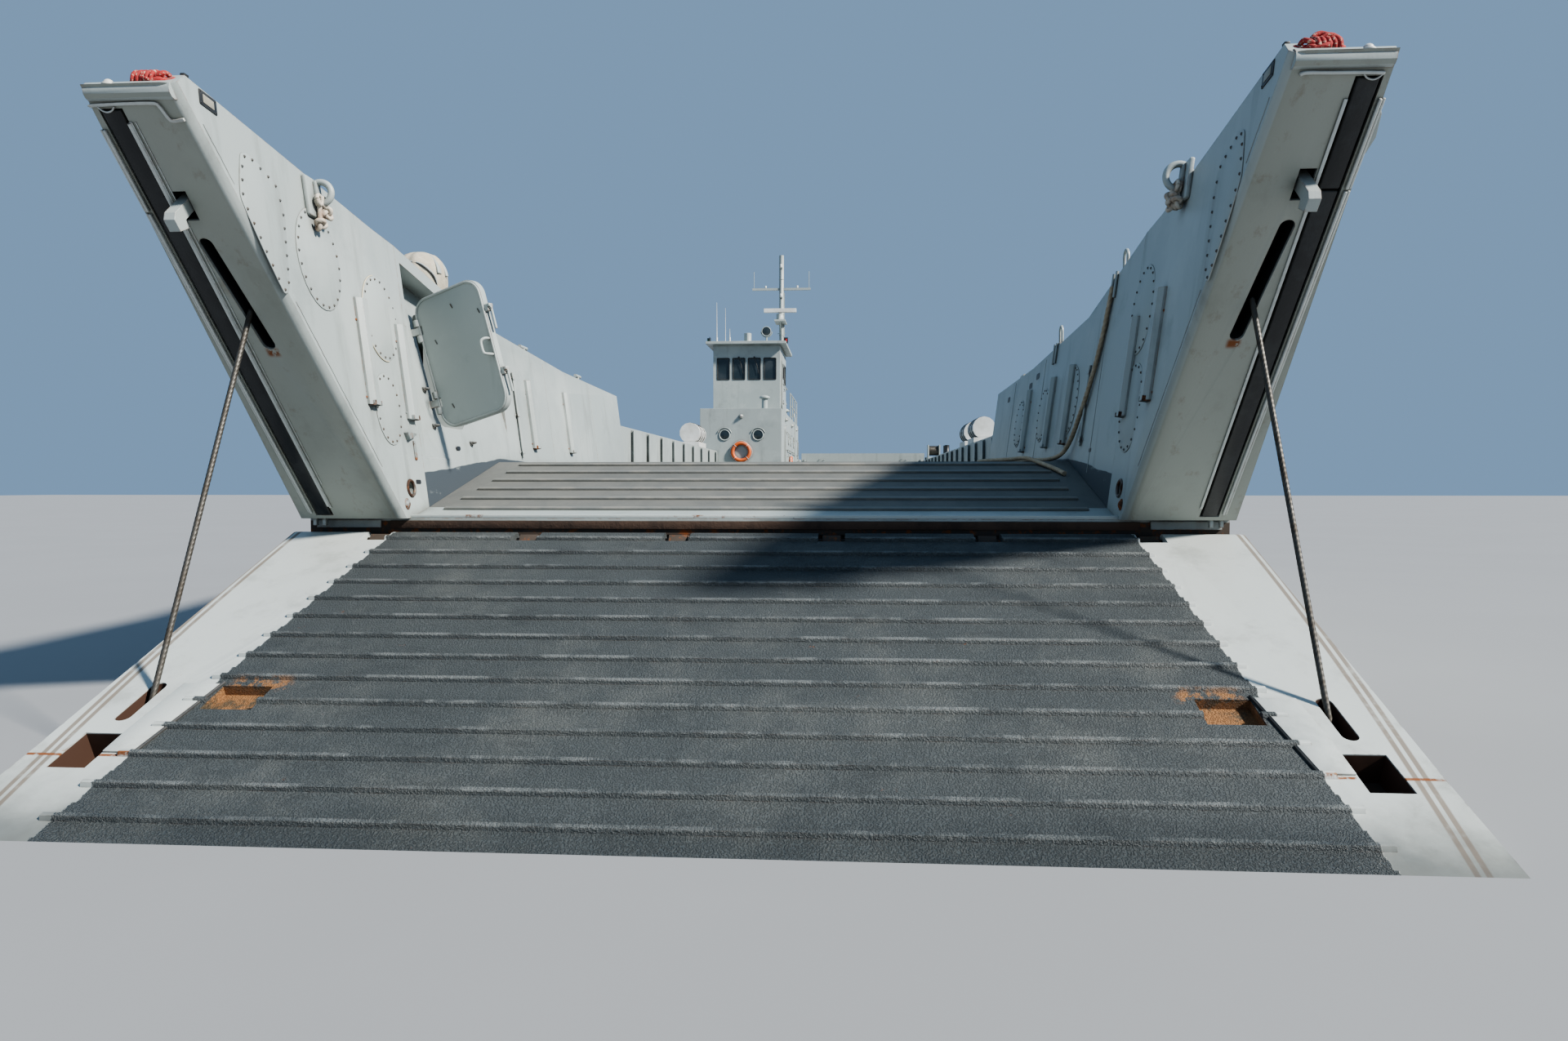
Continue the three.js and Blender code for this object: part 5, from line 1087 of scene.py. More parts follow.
bm = bmesh.new()
bracket = [(-0.07, 0.045), (0.065, 0.043), (0.052, 0.03), (-0.045, -0.002)]
slab(bm, bracket, 0.03, wall(-1, -0.135, 0.50) @ stretch(-1, 1, 1), 0.002)
slab(bm, box_round(0.03, 0.125, 0.006), 0.008, wall(-1, -0.195, 0.435), 0.002)
piece("rusty_bracket", bm, "rust_plate")
# Painted shade: thin black plates on the wall stand for the drain slots' dark openings.
bm = bmesh.new()
for side, x, z in ((-1, -0.185, 0.231), (1, -1.1, 0.46), (-1, -1.0, 0.48)):
    slab(bm, box_round(0.075, 0.028, 0.012), 0.002, wall(side, x, z))
for x, z in ((-3.85, 1.28), (-4.2, 1.22), (-5.6, 1.2)):
    slab(bm, box_round(0.16, 0.06, 0.025), 0.002, wall(1, x, z))
piece("drain_slot_shade", bm, "black")

bm = bmesh.new()
for side, x in ((1, -1.89), (1, -3.74), (1, -5.49), (-1, -3.3), (-1, -5.2)):
    top = bow_line(x, TOP)
    at = BOW @ move(x, side * (bow_line(x, INNER) + WALL_FLARE * top + 0.12), top)
    disc(bm, 0.05, 0.015, at, 20, 0.008)
    bar(bm, at, (0, 0, 0.01), (0, 0, 0.075), 0.02, 12)
    bar(bm, at, (-0.1, 0, 0.08), (0.1, 0, 0.08), 0.018, 12)
piece("wall_cleats", bm, "haze_worn")

bm = bmesh.new()
for x in (-1.02, -3.06):
    for dx in (-0.05, 0.05):
        foot, head = (wall(1, x + dx, bow_line(x, TOP) + dz) @ Vector((0, 0, 0.011)) for dz in (-0.16, 0.02))
        bar(bm, Matrix(), foot, head, 0.011, 10)
piece("hoop_legs", bm, "haze_worn", smooth_to=60)

# %% [markdown]
# ## Weld seams
# The walls are plates butted together and welded from inside and out, which leaves low, slightly
# uneven beads. A thin bar along each seam is enough, because the paint hides the rest.

# %% Seams on walls and faces
SEAM_RADIUS = 0.0035
bm = bmesh.new()
for side in (-1, 1):
    for x, z0, z1 in ((-1.1, 0.3, 1.6), (-3.5, 0.42, 1.4), (-5.2, 0.42, 1.35))[side < 0:]:
        line = [wall(side, x, z0 + (z1 - z0) * i / 10).to_translation() for i in range(11)]
        sweep(bm, line, SEAM_RADIUS, 6)
    for z0, z1 in ((0.32, 1.16), (1.63, 1.84)):
        steps, line = round((z1 - z0) / 0.02), []
        for i in range(steps + 1):
            z = z0 + (z1 - z0) * i / steps
            uneven = 0.003 * math.sin(5.3 * i) * math.cos(1.9 * i)
            line.append(wall(side, 0.115 + 0.9556 * z - 0.088 + uneven, z).to_translation())
        sweep(bm, line, SEAM_RADIUS, 6)
piece("wall_seams", bm, "weld", smooth_to=60)
bm = bmesh.new()
edge_line = [(u, v, 0.003) for u, v in arc(0.252, 0.267, math.radians(80), -math.pi, 30)]
draw(bm, wall(-1, 0.05, 1.25), edge_line, 0.004, 8)
piece("sealant_bead", bm, "sealant", smooth_to=60)

# %% [markdown]
# ## The bow door's fittings
# The weathertight door stands open across the passage. Its outer face is smooth, with a flange
# round it, the ends of its dog spindles and a bent-rod grab handle at the free edge, where two dogs
# stick out. The fittings are placed in the leaf's own frame: x runs back along it to the hinge, y
# stands off its outer face and z runs up it.

# %% Door flange, handle, dogs and gasket
LEAF = (BOW @ move(-0.72, -2.3168, 0.58) @ Matrix.Rotation(math.atan(ALCOVE_FLARE), 4, "X")
        @ move(0, 0.05) @ turn(-110, "Z"))
OUT = Matrix(((1, 0, 0, 0), (0, 0, -1, 0), (0, 1, 0, 0), (0, 0, 0, 1)))  # a plate's own z laid off the face
LEAF_MIDDLE = (-0.3, 0.465)
bm = bmesh.new()
outer_face = LEAF @ move(LEAF_MIDDLE[0], 0, LEAF_MIDDLE[1]) @ OUT
bead(bm, outer_face, box_round(0.575, 0.905, 0.11, 8), 0.009, 10, 0.01)
piece("door_flange", bm, "haze", "bow_door", 50)

bm = bmesh.new()
grab = [(-0.575, -0.01, 0.385), (-0.575, 0.045, 0.385), (-0.56, 0.068, 0.392), (-0.553, 0.074, 0.41),
        (-0.553, 0.074, 0.465), (-0.56, 0.068, 0.485), (-0.575, 0.045, 0.495), (-0.575, -0.01, 0.495)]
draw(bm, LEAF, grab, 0.010, 12, 5)
for z in (0.385, 0.495):
    disc(bm, 0.016, 0.006, LEAF @ move(-0.575, 0, z) @ OUT @ stretch(1, 1, -1), 16, 0.0016)
piece("door_grab", bm, "weld", "bow_door", 60)

bm = bmesh.new()
for z in (0.70, 0.26):
    block(bm, (0.03, 0.036, 0.05), LEAF @ move(-0.612, -0.018, z), 0.004)
    bar(bm, LEAF, (-0.60, -0.018, z), (-0.645, -0.018, z), 0.012, 12)
    bar(bm, LEAF, (-0.637, -0.022, z + 0.01), (-0.632, -0.026, z - 0.15), 0.009, 10)
    block(bm, (0.018, 0.04, 0.022), LEAF @ move(-0.637, -0.016, z + 0.012), 0.004)
piece("door_dogs", bm, "haze_worn", "bow_door")
bm = bmesh.new()
for x, z in ((-0.332, 0.80), (-0.545, 0.70), (-0.126, 0.605), (-0.129, 0.147)):
    block(bm, (0.006, 0.008, 0.034), LEAF @ move(x, 0.002, z) @ turn(18, "Y"), 0.0012)
piece("door_spindles", bm, "bolts", "bow_door")
bm = bmesh.new()
inner_face = LEAF @ move(LEAF_MIDDLE[0], -0.052, LEAF_MIDDLE[1]) @ OUT
bead(bm, inner_face, box_round(0.52, 0.85, 0.10, 8), 0.011, 10, 0.01)
rubber = piece("door_gasket", bm, "rubber", "bow_door", 60)
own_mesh(rubber)

bm = bmesh.new()
hook = ((-0.014, 0, 0.008), (-0.014, 0, 0.03), (0.0, 0, 0.04), (0.014, 0, 0.036), (0.024, 0.008, 0.02))
for x, z in ((-0.66, 0.875), (-0.665, 0.62), (-1.29, 0.525)):
    slab(bm, box_round(0.045, 0.035, 0.006), 0.008, alcove(x, z), 0.002)
    draw(bm, alcove(x, z), hook, 0.007, 10, 5)
piece("door_hooks", bm, "bolts")

# %% [markdown]
# ## The covered signal lamp
# A signal lamp stands outboard of the starboard wall's top under a canvas cover. The cover is one
# piece of cloth: a hood that is drawn in round the lamp's foot, so it's a profile spun round, then
# pulled into folds that deepen towards the hem. A flap overlaps the front, and a webbing strap
# crosses it. The cloth gets its thickness last.

# %% Canvas cover
LAMP_FOOT, LAMP_Z = (-1.30, -2.68), 1.78
LAMP = BOW @ move(*LAMP_FOOT, LAMP_Z)
HOOD = [(0.0, 0.192), (0.056, 0.188), (0.112, 0.167), (0.155, 0.127), (0.180, 0.068), (0.187, 0.0),
        (0.181, -0.06), (0.170, -0.11), (0.164, -0.15), (0.170, -0.175)]


def hooded(r, h, a):
    folds = 0.006 + 0.016 * max(0.0, (0.05 - h) / 0.23)
    crease = math.sin(7 * a + 1.3 * math.sin(2 * a)) + 0.5 * math.sin(13 * a + 6 * h)
    sag = 1 + folds * crease * min(1, r / 0.1) / max(r, 0.05) * 0.55
    return Vector((r * sag * math.cos(a), r * sag * math.sin(a), h + 0.004 * math.sin(5 * a) * (r > 0.1)))


bm = bmesh.new()
rows = []
for p in smooth([(r, 0, h) for r, h in HOOD], 3)[1:]:
    ring = bmesh.ops.create_circle(bm, segments=72, radius=1)["verts"]
    for k, v in enumerate(ring):
        v.co = hooded(p.x, p.z, math.tau * k / 72)
    edges = {e for v in ring for e in v.link_edges}
    if rows:
        bmesh.ops.bridge_loops(bm, edges=list(rows[-1] | edges))
    rows.append(edges)
bmesh.ops.edgeloop_fill(bm, edges=list(rows[0]))
bmesh.ops.transform(bm, matrix=LAMP, verts=bm.verts)
bmesh.ops.recalc_face_normals(bm, faces=bm.faces)
cloth_area = sum(f.calc_area() for f in bm.faces)
cover_cloth = finished("canvas_cover", bm, "canvas", "craft", 70)
thickness = cover_cloth.modifiers.new("cloth", "SOLIDIFY")
thickness.thickness, thickness.offset = 0.0016, 0
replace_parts(cover_cloth, "covered_lamp")
print("cloth", round(cloth_area, 3), "square metres")

# %% Strap, flap and lamp
bm = bmesh.new()
for bend, spread in ((0.42, (-0.018, 0.0, 0.018)), (-0.1, (-0.009, 0.009))):
    over_hood = arc(0.1925, 0.1925, 0.04 * math.pi, 0.92 * math.pi, 24)
    band = [(u * math.sin(bend), u * math.cos(bend), v) for u, v in over_hood]
    for aside in spread:
        draw(bm, LAMP @ move(aside, 0, -0.004), band, 0.0105, 8, 2)
flap = [Vector((math.cos(0.5 - b) * math.cos(a), math.cos(0.5 - b) * math.sin(a), math.sin(0.5 - b))) * 0.193
        for a, b in ((-1.1, 0.5), (-0.75, 0.2), (-0.35, 0.02), (0.1, 0.0), (0.5, 0.15), (0.85, 0.45),
                     (1.05, 0.8), (1.1, 1.0))]
draw(bm, LAMP, flap, 0.008, 8, 6)
piece("cover_strap", bm, "weld", smooth_to=60)
# Painted shadow: a black line just under the flap's edge; three small black discs sit on the hood.
bm = bmesh.new()
draw(bm, LAMP @ move(0.006, 0, -0.008), flap, 0.006, 8, 6)
for x, y in arc(0.18, 0.18, 0.3, 1.0, 2):
    disc(bm, 0.007, 0.003, LAMP @ move(x, y, -0.10) @ turn(90, "Y"), 12)
piece("flap_shadow_and_discs", bm, "black", smooth_to=60)
bm = bmesh.new()
wall_top = bow_line(LAMP_FOOT[0], TOP)
disc(bm, 0.11, 0.012, BOW @ move(*LAMP_FOOT, wall_top), 32, 0.004)
bar(bm, BOW, (*LAMP_FOOT, wall_top), (*LAMP_FOOT, LAMP_Z), 0.04, 16)
dome(bm, 0.13, LAMP @ stretch(1, 1, 0.9), 24, 12)
piece("signal_lamp", bm, "haze", smooth_to=60)

# %% [markdown]
# ## Deckhouse ports and doors
# The deckhouse has round ports, each with a rim, a thick glass and a brow that sheds the rain, and
# weathertight doors with a frame, strap hinges, dogs and a handle. The same two makers serve the
# pilothouse too. Places here are full-size metres from amidships, with the stern at -19.5.

# %% Ports and doors
HOUSE_SIDE, HOUSE_OUTER, HOUSE_TOP, PORT_Z = -1.68, -4.36, 4.92, 4.05
PILOT_FRONT, PILOT_BACK, PILOT_TOP = -9.3, -12.4, 7.311
PILOT_SIDES = ((-1.85, "port"), (-4.15, "starboard"))
DOOR_WIDTH, LEAF_OUT = 0.66, 0.0506

PORTS = [(x, HOUSE_SIDE, PORT_Z, "port") for x in (-11.2, -12.4, -14.4)]
PORTS += [(x, HOUSE_OUTER, PORT_Z, "starboard") for x in (-8.8, -10.6, -12.4, -14.2, -16.6)]
PORTS += [(-7.6, y, PORT_Z, "ahead") for y in (-2.45, -3.55)] + [(-17.9, -2.4, PORT_Z, "aft")]
rims, panes, brows = bmesh.new(), bmesh.new(), bmesh.new()
for port in PORTS:
    at = upright(*port)
    hoop(rims, 0.17, 0.024, at @ move(0, 0, 0.006), 28, 8)
    spots = [(0.205 * math.cos(a), 0.205 * math.sin(a)) for a in (0.5, 1.6, 2.65, 3.7, 4.7, 5.8)]
    bolts(rims, spots, 0.014, at)
    disc(panes, 0.155, 0.014, at, 28, 0.004)
    draw(brows, at, [(u, v, 0.02) for u, v in arc(0.235, 0.235, 0.35, 2.44, 16)], 0.016)
piece("port_rims", rims, "haze_worn", smooth_to=60)
piece("port_panes", panes, "glass")
piece("port_brows", brows, "haze", smooth_to=60)

DOORS = (  # body, hinge x, sill z, wall's y, height, facing
    ("house_door_fore", -9.1, 2.81, HOUSE_SIDE, 1.62, "port"),
    ("house_door_aft", -15.4, 2.81, HOUSE_SIDE, 1.62, "port"),
    *((f"pilot_door_{facing}", -9.75, 5.081, y, 1.75, facing) for y, facing in PILOT_SIDES),
)
frames = bmesh.new()
for body, x, z, y, high, facing in DOORS:
    aft = 1 if facing == "port" else -1  # the way the leaf runs from its hinge, in its own across
    at = upright(x, y, z, facing)
    frame_outline = box_round(DOOR_WIDTH + 0.07, high + 0.07, 0.17, 6)
    bead(frames, at @ move(aft * DOOR_WIDTH / 2, high / 2, 0.008), frame_outline, 0.016, 8, 0.03)
    leaf = at @ move(0, 0, LEAF_OUT)
    bm = bmesh.new()
    for h in (0.2, high / 2, high - 0.2):
        slab(bm, box_round(0.22, 0.05, 0.012), 0.012, leaf @ move(aft * 0.115, h), 0.004)
        disc(bm, 0.026, 0.012, leaf @ move(aft * 0.60, h), 16, 0.004)
        bar(bm, leaf, (aft * 0.60, h, 0.018), (aft * 0.48, h + 0.02, 0.03), 0.012, 10)
    for h in (0.2, high - 0.2):
        disc(bm, 0.026, 0.012, leaf @ move(aft * 0.30, h), 16, 0.004)
        bar(bm, leaf, (aft * 0.30, h, 0.018), (aft * 0.30, high / 2 + (h - high / 2) * 0.84, 0.03), 0.012, 10)
    grip = [(aft * 0.53, high * 0.42 + v, w) for v, w in ((-0.09, 0), (-0.09, 0.05), (0.09, 0.05), (0.09, 0))]
    draw(bm, leaf, grip, 0.011, 10, 5)
    piece(f"{body}_fittings", bm, "haze_worn", body, 50)
piece("door_frames", frames, "haze", smooth_to=60)

# %% [markdown]
# ## Pilothouse glass
# The pilothouse looks out through square windows. Each pane sits in a black rubber gasket in its
# opening, and two of the front ones have a wiper. The doors' lights ride with their doors.

# %% Window glass, gaskets and wipers
WINDOW_Z, WINDOW_HIGH, FRONT_PITCH, WIPED = 6.4006, 0.72, 0.535, (1, 2)
WINDOWS = [(PILOT_FRONT, -4.07 + FRONT_PITCH * (i + 0.5), 0.4066, "ahead") for i in range(4)]
WINDOWS += [(PILOT_BACK, y, 0.722, "aft") for y in (-3.475, -2.525)]
WINDOWS += [(x, y, 0.665, facing) for x in (-11.8125, -10.9375) for y, facing in PILOT_SIDES]


def glazed(panes, gaskets, at, width, height, corner):
    slab(panes, box_round(width - 0.004, height - 0.004, corner), 0.012, at @ move(0, 0, -0.04))
    bead(gaskets, at @ move(0, 0, 0.004), box_round(width + 0.012, height + 0.012, corner), 0.013, 8, 0.012)


panes, gaskets, wipers = bmesh.new(), bmesh.new(), bmesh.new()
for i, (x, y, width, facing) in enumerate(WINDOWS):
    at = upright(x, y, WINDOW_Z, facing)
    glazed(panes, gaskets, at, width, WINDOW_HIGH, 0.012)
    if i in WIPED:
        disc(wipers, 0.03, 0.03, at @ move(0, 0.39), 16, 0.006)
        bar(wipers, at, (0, 0.39, 0.022), (0.12, 0.02, 0.016), 0.008)
        bar(wipers, at, (0.08, 0.18, 0.01), (0.15, -0.16, 0.01), 0.007)
piece("pilothouse_glass", panes, "glass", smooth_to=30)
piece("window_gaskets", gaskets, "black", smooth_to=60)
piece("wipers", wipers, "black", smooth_to=50)
for y, facing in PILOT_SIDES:
    pane, gasket = bmesh.new(), bmesh.new()
    at = upright(-10.08, y + math.copysign(LEAF_OUT, y + 3), 6.3806, facing)
    glazed(pane, gasket, at, 0.336, 0.496, 0.05)
    piece(f"pilot_door_{facing}_glass", pane, "glass", f"pilot_door_{facing}", 30)
    piece(f"pilot_door_{facing}_gasket", gasket, "black", f"pilot_door_{facing}", 60)

# %% [markdown]
# ## Ladders, rails, vents and lights
# Rung ladders climb to the two roofs, and storm rails run along the walls. Vents with mushroom
# caps stand on the roof, and louvred openings let the engine-room air out. Each light is a glass
# dome in a small cage. Straight parts are bars, and bent ones are pipes drawn along a few points.

# %% Ladders and storm rails
RUNG_GAP = 0.3
bm = bmesh.new()
for x, y, foot, head, facing in ((-13.3, HOUSE_SIDE, 2.7, 5.0, "port"), (PILOT_BACK, -3.0, 5.05, 7.2, "aft")):
    at, high = upright(x, y, foot, facing), head - foot
    for u in (-0.2, 0.2):
        draw(bm, at, ((u, 0, 0), (u, 0.04, 0.12), (u, high - 0.04, 0.12), (u, high, 0)), 0.018, 10, 3)
    for i in range(int(high / RUNG_GAP)):
        bar(bm, at, (-0.2, 0.2 + RUNG_GAP * i, 0.12), (0.2, 0.2 + RUNG_GAP * i, 0.12), 0.012, 10)
piece("ladders", bm, "haze_worn", smooth_to=60)
bm = bmesh.new()
RAILS = (  # from x, to x, wall's y, z
    (-12.95, -10.1, HOUSE_SIDE, 3.65), (-15.1, -13.6, HOUSE_SIDE, 3.65), (-17.6, -8.0, HOUSE_OUTER, 3.65),
    (-12.2, -10.6, -1.85, 5.95), (-12.2, -10.6, -4.15, 5.95),
)
for x0, x1, y, z in RAILS:
    count = max(1, round((x1 - x0) / 1.2))
    out = math.copysign(0.07, y + 3)
    bar(bm, CRAFT, (x0, y + out, z), (x1, y + out, z), 0.016, 10)
    for i in range(count + 1):
        x = x0 + 0.03 + (x1 - x0 - 0.06) * i / count
        bar(bm, CRAFT, (x, y, z), (x, y + out, z), 0.012)
piece("storm_rails", bm, "haze", smooth_to=60)

# %% Vents, louvres and caged lights
bm = bmesh.new()
for x, y, radius, tall in ((-13.9, -3.9, 0.11, 0.45), (-16.4, -2.2, 0.14, 0.55),
                           (-17.3, -3.8, 0.14, 0.5), (-8.4, -2.3, 0.10, 0.4)):
    foot = CRAFT @ move(x, y, HOUSE_TOP)
    disc(bm, radius + 0.04, 0.014, foot, 24, 0.004)
    bar(bm, foot, (0, 0, 0), (0, 0, tall), radius, 24)
    disc(bm, radius * 1.75, 0.07, foot @ move(0, 0, tall - 0.02), 32, 0.024)
    dome(bm, radius * 1.6, foot @ move(0, 0, tall + 0.03) @ stretch(1, 1, 0.4), 32, 12)
piece("roof_vents", bm, "haze", smooth_to=50)
bm = bmesh.new()
for place in ((-17.9, -3.5, 3.9, "aft"), (-16.9, HOUSE_SIDE, 3.9, "port"),
              (-15.6, HOUSE_OUTER, 3.2, "starboard")):
    at = upright(*place)
    for u, v, w, h in ((0, 0.33, 0.78, 0.05), (0, -0.33, 0.78, 0.05),
                       (0.365, 0, 0.05, 0.61), (-0.365, 0, 0.05, 0.61)):
        block(bm, (w, h, 0.05), at @ move(u, v, 0.025), 0.008)
    for i in range(9):
        block(bm, (0.68, 0.065, 0.010), at @ move(0, -0.265 + 0.066 * i, 0.022) @ turn(40, "X"), 0.003)
piece("louvres", bm, "haze_worn")
LIGHTS = [(x, HOUSE_SIDE, 4.66, "port") for x in (-9.43, -15.73, -12.9)]
LIGHTS += [(PILOT_BACK, -2.2, 7.0, "aft"), (-7.6, -3.0, 4.66, "ahead")]
bases, glasses = bmesh.new(), bmesh.new()
for place in LIGHTS:
    at = upright(*place)
    disc(bases, 0.075, 0.03, at, 24, 0.008)
    dome(glasses, 0.052, at @ move(0, 0, 0.03) @ stretch(1, 1, 1.3), 20, 10)
    for angle in (0, 60, 120):
        cage = [(u, 0, 0.03 + w) for u, w in arc(0.064, 0.085, 0, math.pi, 14)]
        draw(bases, at @ turn(angle, "Z"), cage, 0.005, 6)
piece("light_cages", bases, "haze_worn", smooth_to=50)
piece("light_glasses", glasses, "white", smooth_to=60)

# %% [markdown]
# ## Roof, mast and funnel gear
# The pilothouse roof carries a searchlight, sidelights in their screens, and whip aerials. The mast
# has rungs, masthead lights and a conduit, which all fold with it. The funnel's pipes have flanges,
# and a black disc just inside each mouth is soot and painted shade.

# %% Roof gear
bm = bmesh.new()
light = CRAFT @ move(-9.75, -2.35, PILOT_TOP)
disc(bm, 0.09, 0.02, light, 20, 0.006)
bar(bm, light, (0, 0, 0), (0, 0, 0.24), 0.03, 16)
draw(bm, light, [(0, v, 0.42 - w) for v, w in arc(0.19, 0.19, 0, math.pi, 14)], 0.016, 10)
drum = light @ move(-0.12, 0, 0.42) @ turn(90, "Y")
disc(bm, 0.155, 0.22, drum, 32, 0.016)
hoop(bm, 0.155, 0.014, drum @ move(0, 0, 0.22), 32, 8)
piece("searchlight", bm, "haze", smooth_to=50)
bm = bmesh.new()
disc(bm, 0.14, 0.012, drum @ move(0, 0, 0.214), 32, 0.004)
piece("searchlight_glass", bm, "glass")
bm = bmesh.new()
for x, y, tall in ((-12.3, -4.1, 1.7), (-9.5, -4.05, 1.4), (-9.5, -3.6, 0.5)):
    foot = CRAFT @ move(x, y, PILOT_TOP)
    disc(bm, 0.05, 0.03, foot, 16, 0.006)
    bar(bm, foot, (0, 0, 0.02), (0, 0, 0.2), 0.03, 12)
    bar(bm, foot, (0, 0, 0.2), (0, 0, tall), 0.014, 10, 0.005)
piece("whip_aerials", bm, "white", smooth_to=50)
for name, side, y, glow in (("port", 1, -1.66, "red_glass"), ("starboard", -1, -4.34, "green_glass")):
    foot = CRAFT @ move(-9.45, y, PILOT_TOP)
    bm = bmesh.new()
    block(bm, (0.34, 0.012, 0.20), foot @ move(-0.02, -side * 0.06, 0.10), 0.004)
    block(bm, (0.012, 0.13, 0.20), foot @ move(-0.18, 0, 0.10), 0.004)
    block(bm, (0.34, 0.13, 0.012), foot @ move(-0.02, 0, 0.004), 0.004)
    piece(f"sidelight_screen_{name}", bm, "black")
    bm = bmesh.new()
    disc(bm, 0.042, 0.10, foot @ move(-0.06, 0, 0.03), 24, 0.012)
    piece(f"sidelight_{name}", bm, glow, smooth_to=50)

# %% Mast and funnel gear
MAST = CRAFT @ move(-12.95, -2.05, 5.47)
LIGHT_HEIGHTS, YARD_Z = (4.0, 5.1), 4.38
bm = bmesh.new()
for i in range(8):
    h = 0.45 + 0.32 * i
    bar(bm, MAST, (-0.11, -0.16, h), (-0.11, 0.16, h), 0.012, 10)
    for y in (-0.05, 0.05):
        bar(bm, MAST, (-0.06, y, h), (-0.115, y, h), 0.011)
for h in (0.3, 1.6, 2.6, 3.6, 4.7):
    hoop(bm, 0.091, 0.010, MAST @ move(0, 0, h), 24, 6)
draw(bm, MAST, [(0.0, 0.105, h) for h in (0.25, 1.5, 3.0, 4.2)], 0.013, 8, 5)
for h in LIGHT_HEIGHTS:
    block(bm, (0.26, 0.09, 0.014), MAST @ move(0.18, 0, h), 0.004)
for y in (-1.04, 1.04):
    bar(bm, MAST, (0, y, YARD_Z), (0, y, 5.0), 0.010)
piece("mast_fittings", bm, "haze", "mast", 60)
bm = bmesh.new()
for h in LIGHT_HEIGHTS:
    disc(bm, 0.045, 0.12, MAST @ move(0.24, 0, h + 0.007), 24, 0.012)
for y in (-0.6, 0.6):
    disc(bm, 0.036, 0.09, MAST @ move(0, y, YARD_Z), 20, 0.01)
piece("masthead_lights", bm, "white", "mast", 50)

bm = bmesh.new()
for y in (-3.3, -2.8):
    down = Vector((0.15, 0, -0.5)).normalized()
    at = CRAFT @ move(-15.2, y, 6.52) @ down.to_track_quat("Z", "Y").to_matrix().to_4x4()
    # Soot and painted shade: a black disc closes each pipe just inside its mouth.
    disc(bm, 0.095, 0.008, at @ move(0, 0, -0.006))
    hoop(bm, 0.112, 0.012, at @ move(0, 0, 0.03))
    hoop(bm, 0.112, 0.014, at @ move(0, 0, 0.32))
piece("funnel_mouths", bm, "black", smooth_to=50)
print("mast and roof dressed")

# %% [markdown]
# ## Decks and stern
# The cargo deck is studded with tie-down sockets, and the wing walls have web frames on their
# inner side. Straps hold the raft canisters, wire is wound on the anchor winch, and ring buoys hang
# ready. A half-round fender runs along each side. All of it comes from loops over short tables.

# %% Tie-downs, frames, straps and fenders
TIE_PITCH, FRAME_PITCH, HOUSE_FRONT = 1.05, 1.55, -7.4
bm = bmesh.new()
for i in range(16):
    for y in (-3.0, -1.8, -0.6, 0.6, 1.8, 3.0):
        x = -6.8 + TIE_PITCH * i
        hoop(bm, 0.075, 0.012, CRAFT @ move(x, y, DECK_Z + 0.013), 12, 4)
        bar(bm, CRAFT, (x - 0.07, y, DECK_Z + 0.016), (x + 0.07, y, DECK_Z + 0.016), 0.010, 4)
for i in range(9):
    for y in (-0.6, 0.6, 1.8, 3.0):
        hoop(bm, 0.075, 0.012, CRAFT @ move(-17.4 + TIE_PITCH * i, y, DECK_Z + 0.002), 12, 4)
piece("deck_tiedowns", bm, "steel", smooth_to=60)
bm = bmesh.new()
for i in range(18):
    x = -18.0 + FRAME_PITCH * i
    for side in (1,) if x < HOUSE_FRONT else (1, -1):
        block(bm, (0.024, 0.06, 0.86), CRAFT @ move(x, side * 3.78, 3.06), 0.004)
        block(bm, (0.12, 0.014, 0.86), CRAFT @ move(x, side * 3.75, 3.06), 0.004)
piece("wall_frames", bm, "haze")
bm = bmesh.new()
for x, y in ((-2.5, 4.115), (-4.6, 4.115), (-4.6, -4.115)):
    at = CRAFT @ move(x, y, 3.93) @ turn(90, "Y")
    for along in (-0.36, 0.36):
        for k in (-0.014, 0.0, 0.014):
            hoop(bm, 0.304, 0.007, at @ move(0, 0, along + k), 40, 6)
    hoop(bm, 0.302, 0.010, at, 40, 6)
piece("canister_straps", bm, "black", smooth_to=60)
bm = bmesh.new()
turns = [(-18.1 + u, 3.9 + 0.40 * i / 224, 3.89 + v)
         for i, (u, v) in enumerate(arc(0.197, 0.197, 0, math.tau * 14, 224))]
draw(bm, CRAFT, turns, 0.013, 6)
piece("winch_wire", bm, "wire", smooth_to=60)
bm = bmesh.new()
for side in (-1, 1):
    draw(bm, CRAFT, [(x, side * 4.42, 2.30) for x in (-19.3, -6, 4, 10.0)], 0.055, 12)
piece("side_fenders", bm, "black", smooth_to=60)

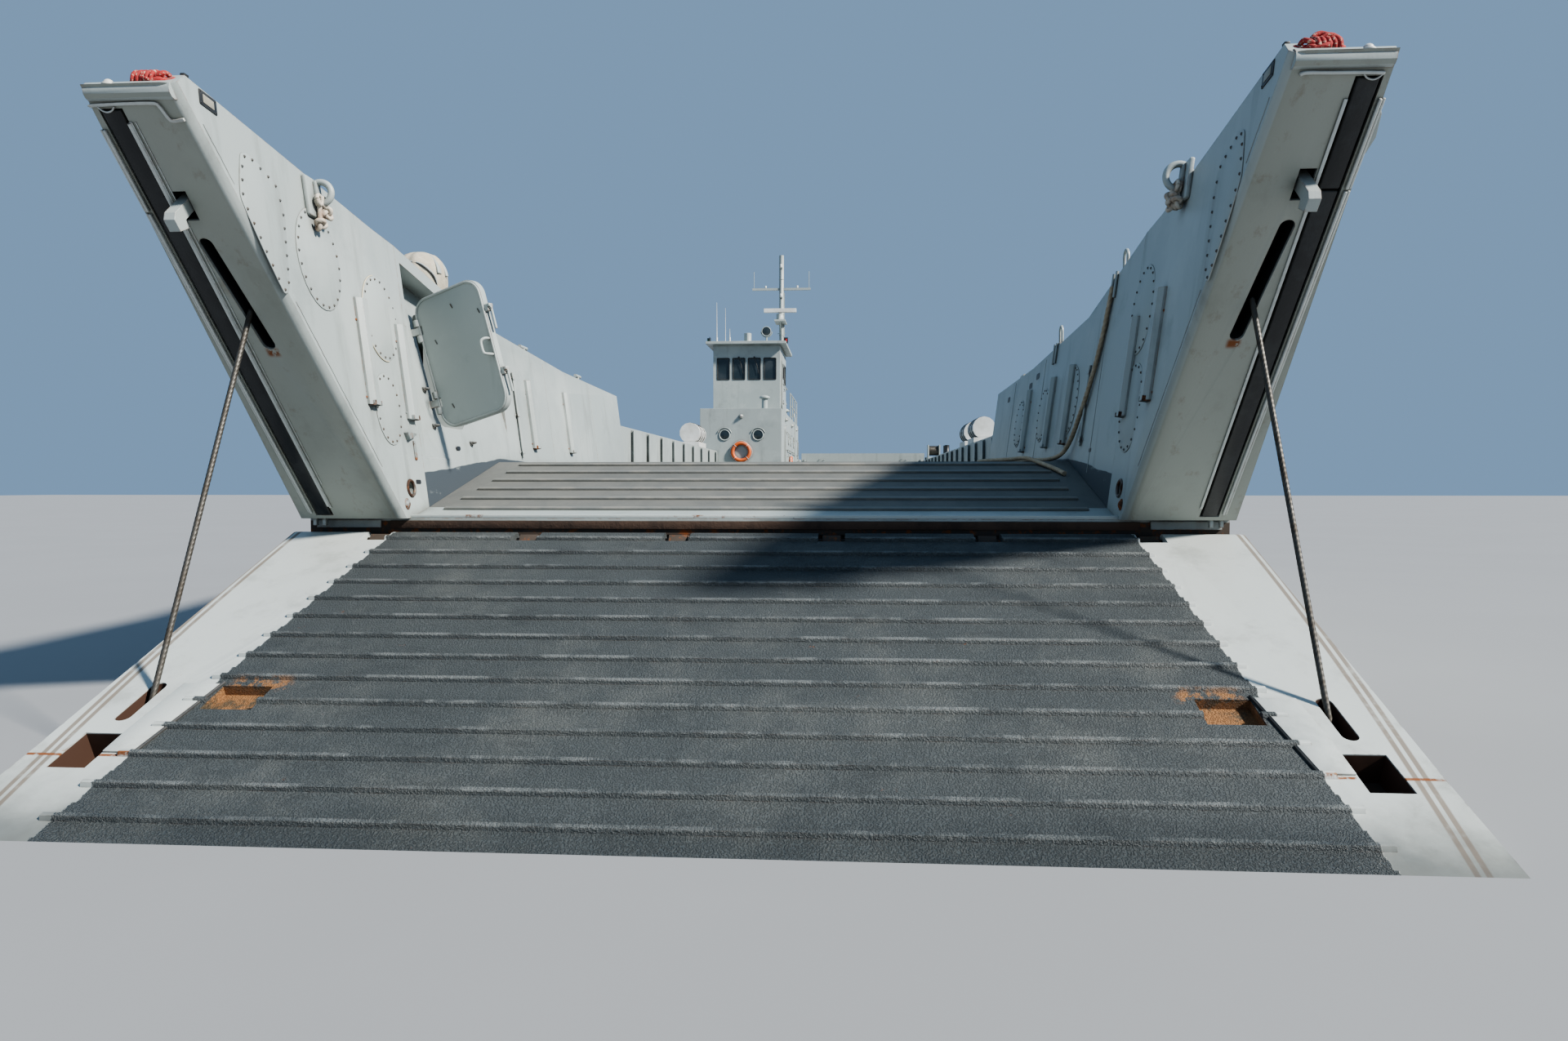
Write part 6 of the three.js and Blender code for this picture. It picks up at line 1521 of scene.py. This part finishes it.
# %% Ring buoys and gate fittings
buoys, lines = bmesh.new(), bmesh.new()
for place in ((-11.8, HOUSE_SIDE, 3.15, "port"), (-19.48, -3.0, 3.05, "aft"), (-7.6, -3.0, 3.5, "ahead")):
    at = upright(*place)
    hoop(buoys, 0.28, 0.058, at @ move(0, 0, 0.062), 40, 14)
    rope = []
    for i in range(49):
        a = math.tau * i / 48
        slack = 0.352 + 0.014 * math.cos(4 * a)
        rope.append((slack * math.cos(a), slack * math.sin(a), 0.066))
    draw(lines, at, rope, 0.008, 6)
    for k in range(4):
        hoop(lines, 0.060, 0.006, at @ turn(45 + 90 * k, "Z") @ move(0.28, 0, 0.062) @ turn(90, "X"), 20, 6)
piece("ring_buoys", buoys, "orange", smooth_to=70)
piece("buoy_lines", lines, "white", smooth_to=70)
bm = bmesh.new()
for y in (-1.45, 3.66):
    for z in (2.9, 3.5):
        block(bm, (0.06, 0.10, 0.09), CRAFT @ move(-19.25, y, z), 0.006)
        bar(bm, CRAFT, (-19.25, y - 0.09, z), (-19.25, y + 0.09, z), 0.016, 12)
for y in (-0.7, 2.9):
    grip = [(-19.26 + w, y + v, 3.55) for v, w in ((-0.1, 0), (-0.1, 0.05), (0.1, 0.05), (0.1, 0))]
    draw(bm, CRAFT, grip, 0.012, 10, 5)
piece("gate_fittings", bm, "haze_worn", "stern_gate", 50)

# %% [markdown]
# ## Light and floor
# A pale floor stands at the waterline. One large soft sun from the port side, high and a little
# ahead, lights the ramp and the starboard wall as in the photograph, and an even sky fills the
# shade.

# %% Floor, sun and sky
SUN_FROM = (0.30, 0.72, 0.62)
scene = bpy.context.scene
scene.view_settings.look = "AgX - Medium High Contrast"
bm = bmesh.new()
bmesh.ops.create_grid(bm, x_segments=1, y_segments=1, size=60, matrix=move(0, 0, WATERLINE))
floor = piece("floor", bm, "white", None)
studio = Finish("studio_floor", (0.28, 0.285, 0.29), 0.7)
studio.over(studio.spots(0.8, 4, 0.6, 0.4, 0.6, 0, 0.3), (0.26, 0.265, 0.27))
floor.data.materials[0] = studio.close()

sun = bpy.data.objects.new("sun", bpy.data.lights.new("sun", "SUN"))
sun.data.energy, sun.data.angle, sun.data.color = 7.8, math.radians(5), (1.0, 0.96, 0.90)
sun.rotation_mode = "QUATERNION"
sun.rotation_quaternion = Vector(SUN_FROM).to_track_quat("Z", "Y")
scene.collection.objects.link(sun)
scene.world = bpy.data.worlds.new("sky")
scene.world.use_nodes = True
sky = scene.world.node_tree.nodes["Background"].inputs
sky[0].default_value, sky[1].default_value = (0.42, 0.66, 0.98, 1), 0.47
